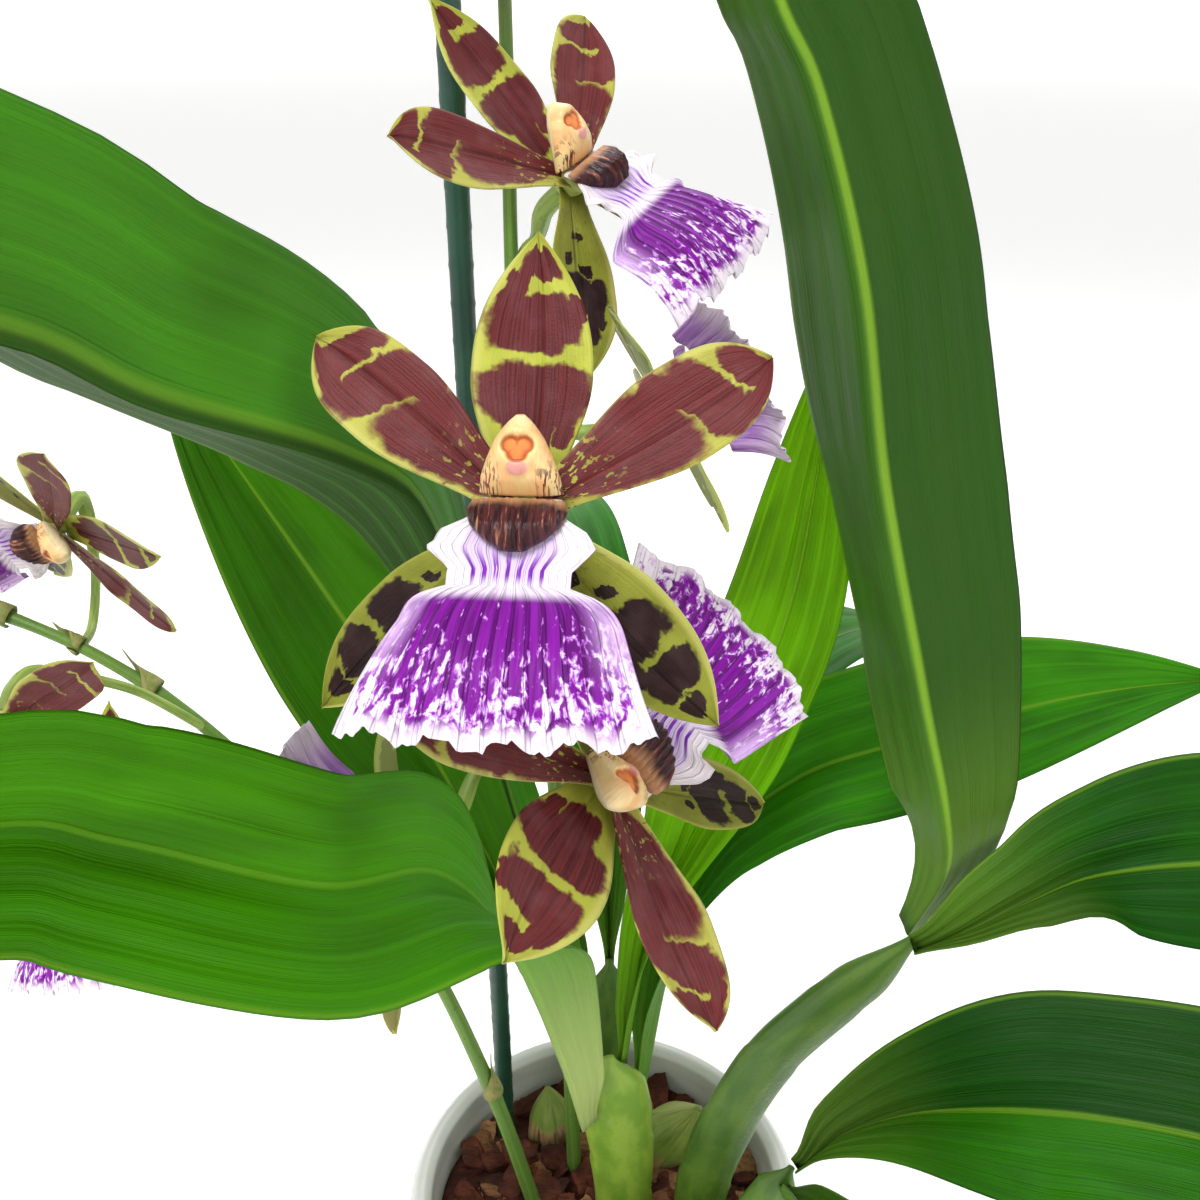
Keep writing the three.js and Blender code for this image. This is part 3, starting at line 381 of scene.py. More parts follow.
def shell(piece, surface, rows, columns, thickness, material, flip=1, seed=0.0):
    """A thin closed blade about surface(u, v), thinnest at its edges, with a front and a back."""
    # The rows lie closer together towards the tip.
    u = (1 - (1 - np.linspace(0, 1, rows)[:, None]) ** TIP_CROWDING) * np.ones(columns)
    x = np.linspace(-1, 1, columns)[None, :] * np.ones((rows, 1))
    v = x * (1.25 - 0.25 * x * x)
    small = 1e-3
    middle = surface(u, v)
    along = surface(np.minimum(1, u + small), v) - surface(np.maximum(0, u - small), v)
    across = surface(u, np.minimum(1, v + small)) - surface(u, np.maximum(-1, v - small))
    normal = unit(np.cross(along, across))
    thick = thickness / 2 * np.sqrt(np.maximum(0, 1 - np.abs(v) ** 8)) * np.sqrt(1.02 - u**10)
    front = middle + normal * thick[..., None]
    back = middle - normal * thick[..., None]
    ring = np.concatenate([front, back[:, -2:0:-1]], axis=1)[:, ::-1]
    flat = np.stack([v * flip * 0.5 + 0.5, u], -1)
    blade = np.concatenate([flat, flat[:, -2::-1]], axis=1)[:, ::-1]
    side = np.concatenate([np.ones((rows, columns)), np.zeros((rows, columns - 1))], axis=1)[:, ::-1]
    kind = np.stack([np.full_like(side, seed), side], -1)
    piece.grid(ring, blade, material, kind, wrap=True, caps=True)


def tube(piece, line, radius, rows, columns, material, seed=0.0, ripple=None, wide=None):
    """A round or rippled stem along a line; radius is a function of the share u that may give two widths."""
    u = np.linspace(0, 1, rows)
    centre, tangent = line.point(u), line.tangent(u)
    across = np.zeros_like(tangent)
    last = np.array([0, 0, 1.0]) if abs(tangent[0][2]) < 0.9 else np.array([1.0, 0, 0])
    for i in range(rows):
        last = without(last if wide is None else np.array(wide, float), tangent[i])
        across[i] = last
    other = np.cross(tangent, across)
    turn = turns(columns)
    reach = radius(u)
    first, second = reach if isinstance(reach, tuple) else (reach, reach)
    swell = np.ones((rows, columns)) if ripple is None else ripple(u[:, None], turn[None, :])
    points = (centre[:, None] + across[:, None] * (first[:, None] * swell * np.cos(turn))[..., None]
              + other[:, None] * (second[:, None] * swell * np.sin(turn))[..., None])
    blade = unrolled(columns, u)
    kind = np.stack([np.full(blade.shape[:2], seed), np.ones(blade.shape[:2])], -1)
    piece.grid(points, blade, material, kind, wrap=True, caps=True)


# Materials


def linear(rgb):
    """An sRGB colour of 0 to 255 as the shader wants it."""
    c = [x / 255 for x in rgb]
    return tuple(x / 12.92 if x <= 0.04045 else ((x + 0.055) / 1.055) ** 2.4 for x in c) + (1.0,)


class Graph:
    """A material whose nodes are written as sums."""

    def __init__(self, name, roughness=0.5, specular=0.5, subsurface=0.0, coat=0.0):
        self.material = bpy.data.materials.new(name)
        self.material.use_nodes = True
        self.nodes = self.material.node_tree.nodes
        self.links = self.material.node_tree.links
        self.shader = self.nodes["Principled BSDF"]
        self.shader.inputs["Roughness"].default_value = roughness
        self.shader.inputs["Specular IOR Level"].default_value = specular
        if subsurface:
            self.shader.inputs["Subsurface Weight"].default_value = subsurface
            self.shader.inputs["Subsurface Radius"].default_value = (1.0, 0.6, 0.3)
            self.shader.inputs["Subsurface Scale"].default_value = 0.0015
        if coat:
            self.shader.inputs["Coat Weight"].default_value = coat
            self.shader.inputs["Coat Roughness"].default_value = 0.2

    def put(self, value, socket):
        if isinstance(value, bpy.types.NodeSocket):
            self.links.new(value, socket)
        elif value is not None:
            socket.default_value = value

    def math(self, operation, a, b=None, c=None):
        node = self.nodes.new("ShaderNodeMath")
        node.operation = operation
        for value, socket in zip((a, b, c), node.inputs):
            self.put(value, socket)
        return node.outputs[0]

    def add(self, a, b):
        return self.math("ADD", a, b)

    def sub(self, a, b):
        return self.math("SUBTRACT", a, b)

    def mul(self, a, b):
        return self.math("MULTIPLY", a, b)

    def vector(self, operation, a, b=None):
        node = self.nodes.new("ShaderNodeVectorMath")
        node.operation = operation
        for value, socket in zip((a, b), node.inputs):
            self.put(value, socket)
        return node.outputs["Value"] if operation == "DOT_PRODUCT" else node.outputs[0]

    def uv(self, name):
        node = self.nodes.new("ShaderNodeUVMap")
        node.uv_map = name
        split = self.nodes.new("ShaderNodeSeparateXYZ")
        self.links.new(node.outputs[0], split.inputs[0])
        return split.outputs[0], split.outputs[1]

    def combine(self, x, y, z=0.0):
        node = self.nodes.new("ShaderNodeCombineXYZ")
        for value, socket in zip((x, y, z), node.inputs):
            self.put(value, socket)
        return node.outputs[0]

    def step(self, value, low, high, to_low=0.0, to_high=1.0):
        """A smooth step of value from low to high."""
        node = self.nodes.new("ShaderNodeMapRange")
        node.interpolation_type = "SMOOTHSTEP"
        for v, socket in zip((value, low, high, to_low, to_high), node.inputs):
            self.put(v, socket)
        return node.outputs[0]

    def noise(self, at, scale=1.0, detail=2.0, rough=0.5, twist=0.0):
        node = self.nodes.new("ShaderNodeTexNoise")
        self.put(at, node.inputs["Vector"])
        node.inputs["Scale"].default_value = scale
        node.inputs["Detail"].default_value = detail
        node.inputs["Roughness"].default_value = rough
        node.inputs["Distortion"].default_value = twist
        return node.outputs[0]

    def streaks(self, across, along, scale=1.0, detail=2.0, rough=0.5, twist=0.0):
        """Noise on the blade, finer across or along it as asked and different on every piece."""
        at = self.combine(self.mul(self.v, across), self.mul(self.u, along), self.seed)
        return self.noise(at, scale, detail, rough, twist)

    def oval(self, v, u, place, half):
        """The square of how far (v, u) is from a place, in half widths."""
        off = self.combine(self.sub(v, place[0]), self.sub(u, place[1]))
        off = self.vector("MULTIPLY", off, (1 / half[0], 1 / half[1], 0))
        return self.vector("DOT_PRODUCT", off, off)

    def place(self):
        return self.nodes.new("ShaderNodeTexCoord").outputs["Object"]

    def mix(self, factor, a, b):
        """The colour a where factor is 0 and b where it is 1; a colour is a socket or an sRGB triple."""
        node = self.nodes.new("ShaderNodeMix")
        node.data_type = "RGBA"
        self.put(factor, node.inputs[0])
        for value, socket in ((a, node.inputs[6]), (b, node.inputs[7])):
            self.put(linear(value) if isinstance(value, tuple) else value, socket)
        return node.outputs[2]

    def colour(self, value):
        self.put(linear(value) if isinstance(value, tuple) else value, self.shader.inputs["Base Color"])

    def glow(self, strength):
        self.shader.inputs["Emission Color"].default_value = (1, 1, 1, 1)
        self.shader.inputs["Emission Strength"].default_value = strength

    def rough(self, value):
        self.put(value, self.shader.inputs["Roughness"])

    def bump(self, height, millimetres, strength=1.0):
        node = self.nodes.new("ShaderNodeBump")
        node.inputs["Strength"].default_value = strength
        node.inputs["Distance"].default_value = millimetres * MM
        self.put(height, node.inputs["Height"])
        self.links.new(node.outputs[0], self.shader.inputs["Normal"])

    def blade(self):
        """v from -1 to 1 across the blade, u from 0 to 1 along it, the piece's number, and 1 on its front."""
        x, self.u = self.uv("blade")
        self.seed, front = self.uv("kind")
        self.v = self.math("MULTIPLY_ADD", x, 2.0, -1.0)
        return self.v, self.u, self.seed, front


def leaf_material(name, width, left, right, midrib=0.45, lines=0.6, root=(120, 158, 52), pale=0.45,
                  vein=(118, 158, 38)):
    """Parallel veins, a paler midrib, broad shades and a duller back; left and right colour its halves and
    carry the painted shade and light that some leaves have.
    """
    g = Graph(name, specular=0.1)
    v, u, _, front = g.blade()
    # Each half takes its colour from the leaf's row: on leaves 1, 4 and 8 a dark half is painted shade, leaf
    # 4's pale half a painted sheen and leaf 5's bright green painted light from behind.
    halves = g.step(v, -0.04, 0.04)
    colour = g.mix(halves, left, right)
    broad = g.streaks(1.3, 5.0, 1.4)
    deep = tuple(int(c * 0.62) for c in left)
    colour = g.mix(g.step(broad, 0.35, 0.75, 0.0, 0.6), colour, deep)
    ribs = g.math("COSINE", g.mul(v, TAU * 3.5))
    streaks = g.streaks(width * 0.7, 2.2)
    fine = g.streaks(width * 2.4, 5.0, detail=1.0)
    light = tuple(min(255, int(c * 1.2 + 8)) for c in right)
    colour = g.mix(g.step(streaks, 0.45, 0.85, 0.0, 0.4 * lines), colour, light)
    colour = g.mix(g.step(ribs, 0.7, 1.0, 0.0, 0.18), colour, light)
    colour = g.mix(g.step(fine, 0.5, 0.75, 0.0, 0.25 * lines), colour, deep)
    margin = g.step(g.math("ABSOLUTE", v), 0.965, 1.0, 0.0, 0.4)
    colour = g.mix(margin, colour, vein)
    rib = g.step(g.math("ABSOLUTE", v), 0.01, 0.05, 1.0, 0.0)
    colour = g.mix(g.mul(rib, midrib), colour, vein)
    foot = g.step(u, 0.02, 0.12 + 0.3 * pale, pale, 0.0)
    colour = g.mix(foot, colour, root)
    colour = g.mix(g.step(front, 0.2, 0.8, 0.16, 0.0), colour, (96, 138, 50))
    g.colour(colour)
    g.rough(g.step(g.add(fine, g.mul(front, 0.3)), 0.3, 1.0, 0.52, 0.36))
    height = g.add(g.mul(ribs, 0.35), g.add(g.mul(streaks, 0.6), g.mul(fine, 0.35)))
    g.bump(g.sub(height, g.mul(rib, 0.8)), 0.5)
    return g.material


def blobs(g, v, u, spots, slant=0.0):
    """1 inside rounded spots, each given by its place (v, u) and its half widths."""
    at = g.combine(v, g.sub(u, g.mul(v, slant)))
    nearest = None
    for place_v, place_u, half_v, half_u in spots:
        off = g.vector("SUBTRACT", at, (place_v, place_u, 0))
        off = g.vector("MULTIPLY", off, (1 / half_v, 1 / half_u, 0))
        off = g.vector("MULTIPLY", off, off)
        far = g.vector("DOT_PRODUCT", off, off)
        nearest = far if nearest is None else g.math("MINIMUM", nearest, far)
    return g.step(nearest, 0.7, 1.35, 1.0, 0.0)


def tepal_material(name, spots, slant, yellow, maroon, dark, wander=0.05, freckles=0.0):
    """Yellow-green with spots that leave a pale margin, fine lines along it, and a plainer back."""
    g = Graph(name, specular=0.18, subsurface=0.1)
    v, u, seed, front = g.blade()
    at = g.combine(g.mul(v, 0.24), u, g.mul(seed, 3.7))
    shift_v = g.mul(g.sub(g.noise(at, 9.0, 3.0, 0.6), 0.5), wander * 9)
    shift_u = g.mul(g.sub(g.noise(g.vector("ADD", at, (5.3, 2.1, 0.7)), 9.0, 3.0, 0.6), 0.5), wander * 2.6)
    # Blooms other than the first carry the same spots, slid along a little.
    slide = g.mul(g.math("SINE", g.mul(seed, 2.3)), 0.03)
    mark = blobs(g, g.add(v, shift_v), g.add(g.add(u, shift_u), slide), spots, slant)
    if freckles:
        dots = g.step(g.noise(at, 34.0, 2.0), 0.6, 0.66)
        mark = g.math("MAXIMUM", mark, g.mul(dots, g.step(u, 0.12, 0.5, freckles, 0.0)))
        holes = g.step(g.noise(g.vector("ADD", at, (1.3, 4.4, 2.0)), 26.0, 2.0), 0.6, 0.66)
        mark = g.math("MULTIPLY", mark, g.sub(1.0, g.mul(holes, g.step(u, 0.15, 0.45, 1.0, 0.0))))
    lines = g.streaks(26.0, 1.6)
    broad = g.noise(at, 7.0, 2.0)
    pale = tuple(min(255, int(c * 1.06 + 8)) for c in yellow)
    ground = g.mix(g.step(broad, 0.35, 0.7), yellow, pale)
    ground = g.mix(g.step(g.math("ABSOLUTE", v), 0.86, 1.0, 0.0, 0.45), ground, (198, 190, 112))
    stain = g.mix(g.step(lines, 0.42, 0.66), maroon, dark)
    stain = g.mix(g.step(broad, 0.42, 0.72, 0.0, 0.4), stain, tuple(int(c * 0.7 + 40) for c in maroon))
    rib = g.step(g.math("ABSOLUTE", v), 0.01, 0.1, 1.0, 0.0)
    stain = g.mix(g.mul(rib, 0.45), stain, dark)
    colour = g.mix(mark, ground, stain)
    behind = g.mix(g.mul(mark, 0.45), (176, 184, 104), maroon)
    g.colour(g.mix(g.step(front, 0.2, 0.8), behind, colour))
    g.rough(g.step(lines, 0.3, 0.7, 0.5, 0.4))
    g.bump(g.add(g.mul(lines, 0.5), g.sub(g.mul(g.noise(at, 120.0, 1.0), 0.25), g.mul(rib, 0.9))), 0.3)
    return g.material


# Spots of the tepals: v, u, half width across and half width along.
DORSAL_SPOTS = [(0.0, 0.885, 0.66, 0.056), (-0.08, 0.665, 0.86, 0.11), (-0.6, 0.79, 0.3, 0.08),
                (0.78, 0.71, 0.17, 0.06), (-0.02, 0.395, 0.97, 0.118), (-0.15, 0.24, 0.5, 0.11),
                (0.6, 0.25, 0.24, 0.05)]
PETAL_SPOTS = [(0.0, 0.905, 0.95, 0.072), (0.0, 0.713, 0.99, 0.096), (0.06, 0.33, 0.99, 0.275),
               (0.6, 0.61, 0.36, 0.09), (-0.66, 0.81, 0.25, 0.06), (0.3, 0.06, 0.5, 0.12)]
SEPAL_SPOTS = [(0.0, 0.55, 0.8, 0.1), (-0.5, 0.63, 0.3, 0.08), (0.1, 0.765, 0.72, 0.08),
               (0.0, 0.905, 0.5, 0.045), (-0.3, 0.42, 0.2, 0.025), (0.3, 0.38, 0.16, 0.03),
               (-0.1, 0.25, 0.2, 0.03)]


def lip_material():
    """A white claw with purple streaks, then a purple lobe with white flecks towards its white frill."""
    g = Graph("lip", specular=0.18, subsurface=0.12)
    s, t, seed, front = g.blade()
    out = g.math("ABSOLUTE", s)
    claw = LIP["claw"]
    purple, violet, lilac, white = (96, 4, 112), (126, 14, 150), (188, 144, 208), (234, 222, 232)
    rays = g.streaks(15.0, 2.6, rough=0.6, twist=0.4)
    flecks = g.noise(g.combine(g.mul(s, 17.0), g.mul(t, 15.0), g.add(seed, 3.1)), 1.0, 3.0, 0.6, 0.5)
    veins = g.step(g.math("COSINE", g.mul(s, 46.0)), 0.55, 0.95)
    # How white the lobe is: none at its waist, flecks from its middle on, all at its end and sides.
    edge = g.add(g.step(t, 0.38, 1.0, -0.06, 0.5), g.step(out, 0.6, 1.0, 0.0, 0.3))
    level = g.add(edge, g.mul(g.sub(g.add(g.mul(rays, 0.6), g.mul(flecks, 1.4)), 1.0), 1.8))
    bare = g.step(level, 0.36, 0.5)
    ink = g.mix(g.step(rays, 0.35, 0.65), violet, purple)
    ink = g.mix(g.mul(veins, 0.55), ink, (66, 0, 84))
    lobe = g.mix(g.step(level, 0.26, 0.42), ink, (158, 66, 184))
    lobe = g.mix(bare, lobe, g.mix(g.step(level, 0.46, 0.66), lilac, white))
    rim = g.step(t, 0.9, 0.99)
    lobe = g.mix(g.mul(rim, 0.92), lobe, white)
    shoulder = g.mul(g.step(out, 0.66, 0.95), g.step(t, 0.86, 0.5))
    lobe = g.mix(g.mul(shoulder, 0.8), lobe, (222, 190, 236))
    # The claw: streaks that run along it, clear of its side lobes.
    streak = g.step(g.math("COSINE", g.mul(s, 34.0)), 0.1, 0.55)
    streak = g.mul(streak, g.mul(g.step(t, claw * 0.5, claw * 0.8), g.step(out, 0.74, 0.62)))
    streak = g.mul(streak, g.step(g.add(rays, g.mul(flecks, 0.5)), 0.55, 0.72))
    wash = g.mix(g.step(out, 0.5, 0.72), (216, 194, 230), (240, 228, 234))
    neck = g.mix(streak, wash, (128, 44, 178))
    colour = g.mix(g.step(t, claw * 0.97, claw * 1.12), neck, lobe)
    waist = g.mul(g.step(t, claw * 0.86, claw), g.step(t, claw * 1.22, claw * 1.06))
    colour = g.mix(g.mul(waist, g.step(rays, 0.7, 0.45, 0.35, 0.9)), colour, (238, 226, 240))
    behind = g.mix(g.step(rays, 0.4, 0.7), (150, 104, 176), (184, 150, 198))
    behind = g.mix(g.step(t, 0.6, 0.98), behind, (206, 188, 212))
    g.colour(g.mix(g.step(front, 0.2, 0.8), behind, colour))
    g.rough(g.step(flecks, 0.3, 0.7, 0.52, 0.42))
    g.bump(g.sub(g.mul(rays, 0.9), g.mul(veins, 0.6)), 0.5)
    return g.material


def callus_material():
    """A dark brown ridge with tan stripes; blade holds its width and height in its own frame."""
    g = Graph("callus", roughness=0.35, specular=0.3)
    _, u, _, _ = g.blade()
    stripe = g.streaks(9.0, 1.2, detail=3.0, rough=0.65, twist=0.3)
    broad = g.streaks(2.0, 2.0)
    colour = g.mix(g.step(stripe, 0.4, 0.6), (38, 12, 18), (82, 34, 34))
    colour = g.mix(g.step(stripe, 0.58, 0.68), colour, (172, 118, 90))
    top = g.step(g.add(u, g.mul(g.sub(broad, 0.5), 0.3)), 0.78, 1.0)
    colour = g.mix(g.mul(top, 0.7), colour, (204, 150, 104))
    g.colour(colour)
    g.bump(stripe, 0.6)
    return g.material


def column_material():
    """Cream, with an orange heart and a pink drop on its face and brown specks low down at its sides."""
    g = Graph("column", roughness=0.38, specular=0.5, subsurface=0.15)
    v, u, _, front = g.blade()
    out = g.math("ABSOLUTE", v)
    broad = g.streaks(2.0, 2.0, 1.5)
    colour = g.mix(g.step(broad, 0.35, 0.7), (228, 198, 136), (234, 176, 118))
    colour = g.mix(g.step(u, 0.72, 1.0, 0.0, 0.8), colour, (242, 216, 160))
    # Two lobes above and a point below make the heart.
    lobes = g.oval(out, u, (0.15, 0.54), (0.21, 0.11))
    heart = g.math("MINIMUM", lobes, g.oval(out, u, (0, 0.45), (0.24, 0.14)))
    colour = g.mix(g.step(heart, 0.7, 1.5, 1.0, 0.0), colour, (196, 92, 30))
    colour = g.mix(g.step(heart, 0.15, 0.6, 1.0, 0.0), colour, (222, 132, 62))
    drop = g.oval(out, u, (0, 0.22), (0.26, 0.1))
    colour = g.mix(g.step(drop, 0.6, 1.3, 1.0, 0.0), colour, (216, 150, 138))
    specks = g.streaks(12.0, 5.0, 1.6)
    side = g.mul(g.step(out, 0.3, 0.62), g.step(u, 0.5, 0.1))
    colour = g.mix(g.mul(g.step(specks, 0.5, 0.58), side), colour, (96, 48, 40))
    g.colour(g.mix(g.step(front, 0.2, 0.8), (232, 214, 170), colour))
    g.bump(g.add(g.mul(specks, 0.3), g.step(heart, 0.5, 1.6)), 0.5)
    return g.material


def stem_material(name, base, other, dark, rough=0.45):
    """Long streaks of two greens with dark freckles."""
    g = Graph(name, specular=0.4)
    g.blade()
    place = g.place()
    lengthwise = g.streaks(5.0, 6.0)
    fine = g.noise(place, 900.0, 2.0)
    broad = g.noise(place, 40.0, 2.0)
    colour = g.mix(g.step(lengthwise, 0.35, 0.65), base, other)
    colour = g.mix(g.step(broad, 0.52, 0.78, 0.0, 0.6), colour, dark)
    colour = g.mix(g.step(fine, 0.62, 0.72, 0.0, 0.4), colour, dark)
    g.colour(colour)
    g.rough(g.step(fine, 0.3, 0.7, rough + 0.08, rough - 0.06))
    g.bump(g.add(g.mul(lengthwise, 0.6), g.mul(fine, 0.25)), 0.4)
    return g.material


def bulb_material():
    """Green ribs with a brown papery foot and wrinkles along them."""
    g = Graph("pseudobulb", specular=0.4)
    _, u, _, _ = g.blade()
    wrinkle = g.streaks(22.0, 3.0, detail=3.0)
    broad = g.noise(g.place(), 60.0, 3.0)
    colour = g.mix(g.step(broad, 0.35, 0.7), (112, 142, 52), (148, 162, 74))
    colour = g.mix(g.step(wrinkle, 0.5, 0.7, 0.0, 0.6), colour, (84, 104, 40))
    husk = g.step(g.add(u, g.mul(g.sub(broad, 0.5), 0.7)), 0.62, 0.5)
    colour = g.mix(husk, colour, g.mix(g.step(wrinkle, 0.4, 0.65), (168, 138, 92), (104, 74, 46)))
    g.colour(colour)
    g.rough(g.step(husk, 0.0, 1.0, 0.42, 0.75))
    g.bump(g.add(wrinkle, g.mul(husk, 0.6)), 0.8)
    return g.material


def bark_material():
    """Red-brown chips with a grain, tan where they are split."""
    g = Graph("bark", specular=0.25)
    _, _, seed, _ = g.blade()
    place = g.place()
    grain = g.noise(g.vector("MULTIPLY", place, (260.0, 900.0, 500.0)), 1.0, 4.0, 0.65, 0.4)
    broad = g.noise(place, 120.0, 3.0)
    colour = g.mix(g.step(broad, 0.35, 0.7), (74, 36, 26), (118, 64, 44))
    colour = g.mix(g.step(seed, 0.6, 0.9, 0.0, 0.75), colour, (184, 136, 92))
    colour = g.mix(g.step(seed, 0.0, 0.2, 0.7, 0.0), colour, (44, 26, 22))
    colour = g.mix(g.step(grain, 0.45, 0.7, 0.0, 0.6), colour, (46, 26, 20))
    g.colour(colour)
    g.rough(g.step(grain, 0.3, 0.7, 0.8, 0.95))
    g.bump(g.add(grain, g.mul(broad, 0.5)), 1.2)
    return g.material


def pot_material():
    """White glazed plastic, faintly mottled, and a darker grey-brown low on it."""
    g = Graph("pot", specular=0.5, coat=0.15)
    place = g.place()
    broad = g.noise(place, 24.0, 3.0)
    fine = g.noise(place, 700.0, 2.0)
    colour = g.mix(g.step(broad, 0.35, 0.7), (204, 205, 199), (214, 215, 210))
    _, y = g.uv("blade")
    # The pot turns a darker grey-brown towards its foot, by height alone.
    colour = g.mix(g.step(g.add(y, g.mul(broad, 0.2)), 0.3, 0.1, 0.0, 0.25), colour, (170, 166, 154))
    g.colour(colour)
    g.rough(g.step(fine, 0.35, 0.7, 0.3, 0.42))
    g.bump(g.add(g.mul(broad, 0.6), g.mul(fine, 0.15)), 0.25)
    return g.material


def plastic_material(name, colour_a, colour_b, rough):
    """Moulded plastic with faint mottling and a fine grain."""
    g = Graph(name, specular=0.5)
    place = g.place()
    broad = g.noise(place, 90.0, 2.0)
    fine = g.noise(place, 1500.0, 2.0)
    g.colour(g.mix(g.step(broad, 0.35, 0.7), colour_a, colour_b))
    g.rough(g.step(fine, 0.35, 0.7, rough, rough + 0.14))
    g.bump(fine, 0.12)
    return g.material


# The pot, the bark and what stands in it


def inside(z):
    """The radius of the pot's hollow at a height."""
    low, high = POT["foot"] - POT["wall"] + 1, POT["rim"] - POT["rim_width"]
    return low + (high - low) * (z - POT["floor"]) / (POT["height"] - POT["rim_height"] - POT["floor"])


def make_pot():
    """A turned pot with a thick rim, rounded at its corners."""
    height, rim, low = POT["height"], POT["rim"], POT["height"] - POT["rim_height"]
    inner = rim - POT["rim_width"]
    foot = POT["foot"]
    # Radius, height and how round the corner there is.
    corners = [(0, 3, 0), (foot - 8, 3, 1), (foot - 9, 0, 1), (foot, 0, 1.5), (inner + 4, low - 2, 1.6),
               (rim - 0.6, low, 1), (rim, low + 1.4, 0.8), (rim, height - 3, 2), (rim - 2.4, height, 1.8),
               (inner + 2, height, 1), (inner, height - 2, 1), (inner, low, 1), (inside(5), 5, 2), (0, 5, 0)]
    profile = []
    for k, (r, z, bend) in enumerate(corners):
        here = np.array((r, z), float)
        if not bend:
            profile.append(here)
            continue
        before, after = (np.array(corners[j][:2], float) for j in (k - 1, k + 1))
        back, forth = unit(before - here), unit(after - here)
        reach = min(bend, np.linalg.norm(before - here) * 0.45, np.linalg.norm(after - here) * 0.45)
        for t in np.linspace(0, 1, 6):
            profile.append(here + back * reach * (1 - t) ** 2 + forth * reach * t**2)
    profile = np.array(profile)
    columns = 128
    turn = turns(columns)
    radii = profile[:, :1]
    points = np.stack([radii * np.cos(turn), radii * np.sin(turn), profile[:, 1:] + 0 * turn], -1)
    blade = np.stack([np.ones((len(profile), 1)) * np.linspace(0, 1, columns + 1),
                      profile[:, 1:] / height * np.ones(columns + 1)], -1)
    piece = Piece("pot_shell")
    piece.grid(points, blade, POT_LOOK, wrap=True)
    piece.make(["pot"], "pot")


def make_bark():
    """A lumpy bed with loose chips pushed into it."""
    rng = np.random.default_rng(BARK["seed"])
    piece = Piece("bark_chips")
    top = POT["height"] - BARK["drop"] - BARK["bed"]
    edge = inside(top) - SEAT
    rows, columns = 26, 72
    r = np.linspace(0.02, 1, rows)[:, None] * edge
    turn = turns(columns)
    x, y = r * np.cos(turn), r * np.sin(turn)
    lumps = value_noise(np.stack([x / 6, y / 6, 0 * x], -1), 3) * 3.4
    ground = np.stack([x, y, top - 2.6 + lumps], -1)
    wall_z = np.array([top - 8, POT["floor"] + SEAT])
    wall_r = inside(wall_z)[:, None] - SEAT
    wall = np.stack([wall_r * np.cos(turn), wall_r * np.sin(turn), wall_z[:, None] * np.ones(columns)], -1)
    body = np.concatenate([ground, wall], 0)
    blade = unrolled(columns, np.linspace(0, 1, len(body)))
    piece.grid(body[::-1], blade, BARK_LOOK, (0.1, 1), wrap=True, caps=True)
    # Chips: rough blocks pushed into the bed, each turned its own way.
    nets = np.linspace(-1, 1, 6)
    taken = [(*at[:2], max(half[:2]) - 1) for at, half, _, _ in BULBS.values()]
    taken += [(line[0][0], line[0][1], 8) for line, _, _, _ in SHOOTS.values()]
    taken += [(spike["line"][0][0], spike["line"][0][1], 3.2) for spike in SPIKES.values()]
    taken.append((STAKE["x"], STAKE["y"], STAKE["radius"] + 0.6))
    for number in range(BARK["chips"]):
        size = rng.uniform(*BARK["sizes"])
        half = size * np.array([1, rng.uniform(0.5, 0.85), rng.uniform(0.28, 0.55)])
        radius = (edge - size * 0.82) * math.sqrt(rng.uniform(0, 1))
        angle = rng.uniform(0, TAU)
        cx, cy = radius * math.cos(angle), radius * math.sin(angle)
        tone = rng.uniform(0, 1)
        tilt, spin, lift = rng.normal(0, 0.32, 2), rng.uniform(0, TAU), rng.uniform(-1.6, 2.4)
        if any(math.hypot(cx - px, cy - py) < pr + size * 0.55 for px, py, pr in taken):
            continue
        c, s = math.cos(spin), math.sin(spin)
        turned = np.array([[c, -s, tilt[0]], [s, c, tilt[1]], [-tilt[0], -tilt[1], 1]])
        for axis in range(3):
            for way in (-1, 1):
                a, b = np.meshgrid(nets, nets, indexing="ij")
                cube = np.stack([np.full_like(a, way)] * 3, -1)
                cube[..., (axis + 1) % 3], cube[..., (axis + 2) % 3] = (a, b) if way > 0 else (b, a)
                ball = unit(cube)
                p = cube * 0.55 + ball * 0.52
                p = p * (0.86 + 0.34 * value_noise(p * 1.7 + number * 7.1, 1)[..., None])
                p = np.round(p * 9) / 9 * 0.35 + p * 0.65
                p = (p * half) @ turned.T + np.array([cx, cy, top + lift])
                flat = np.stack([a * 0.5 + 0.5, b * 0.5 + 0.5], -1)
                piece.grid(p, flat, BARK_LOOK, (tone, 1))
    piece.make(["bark"], "bark")


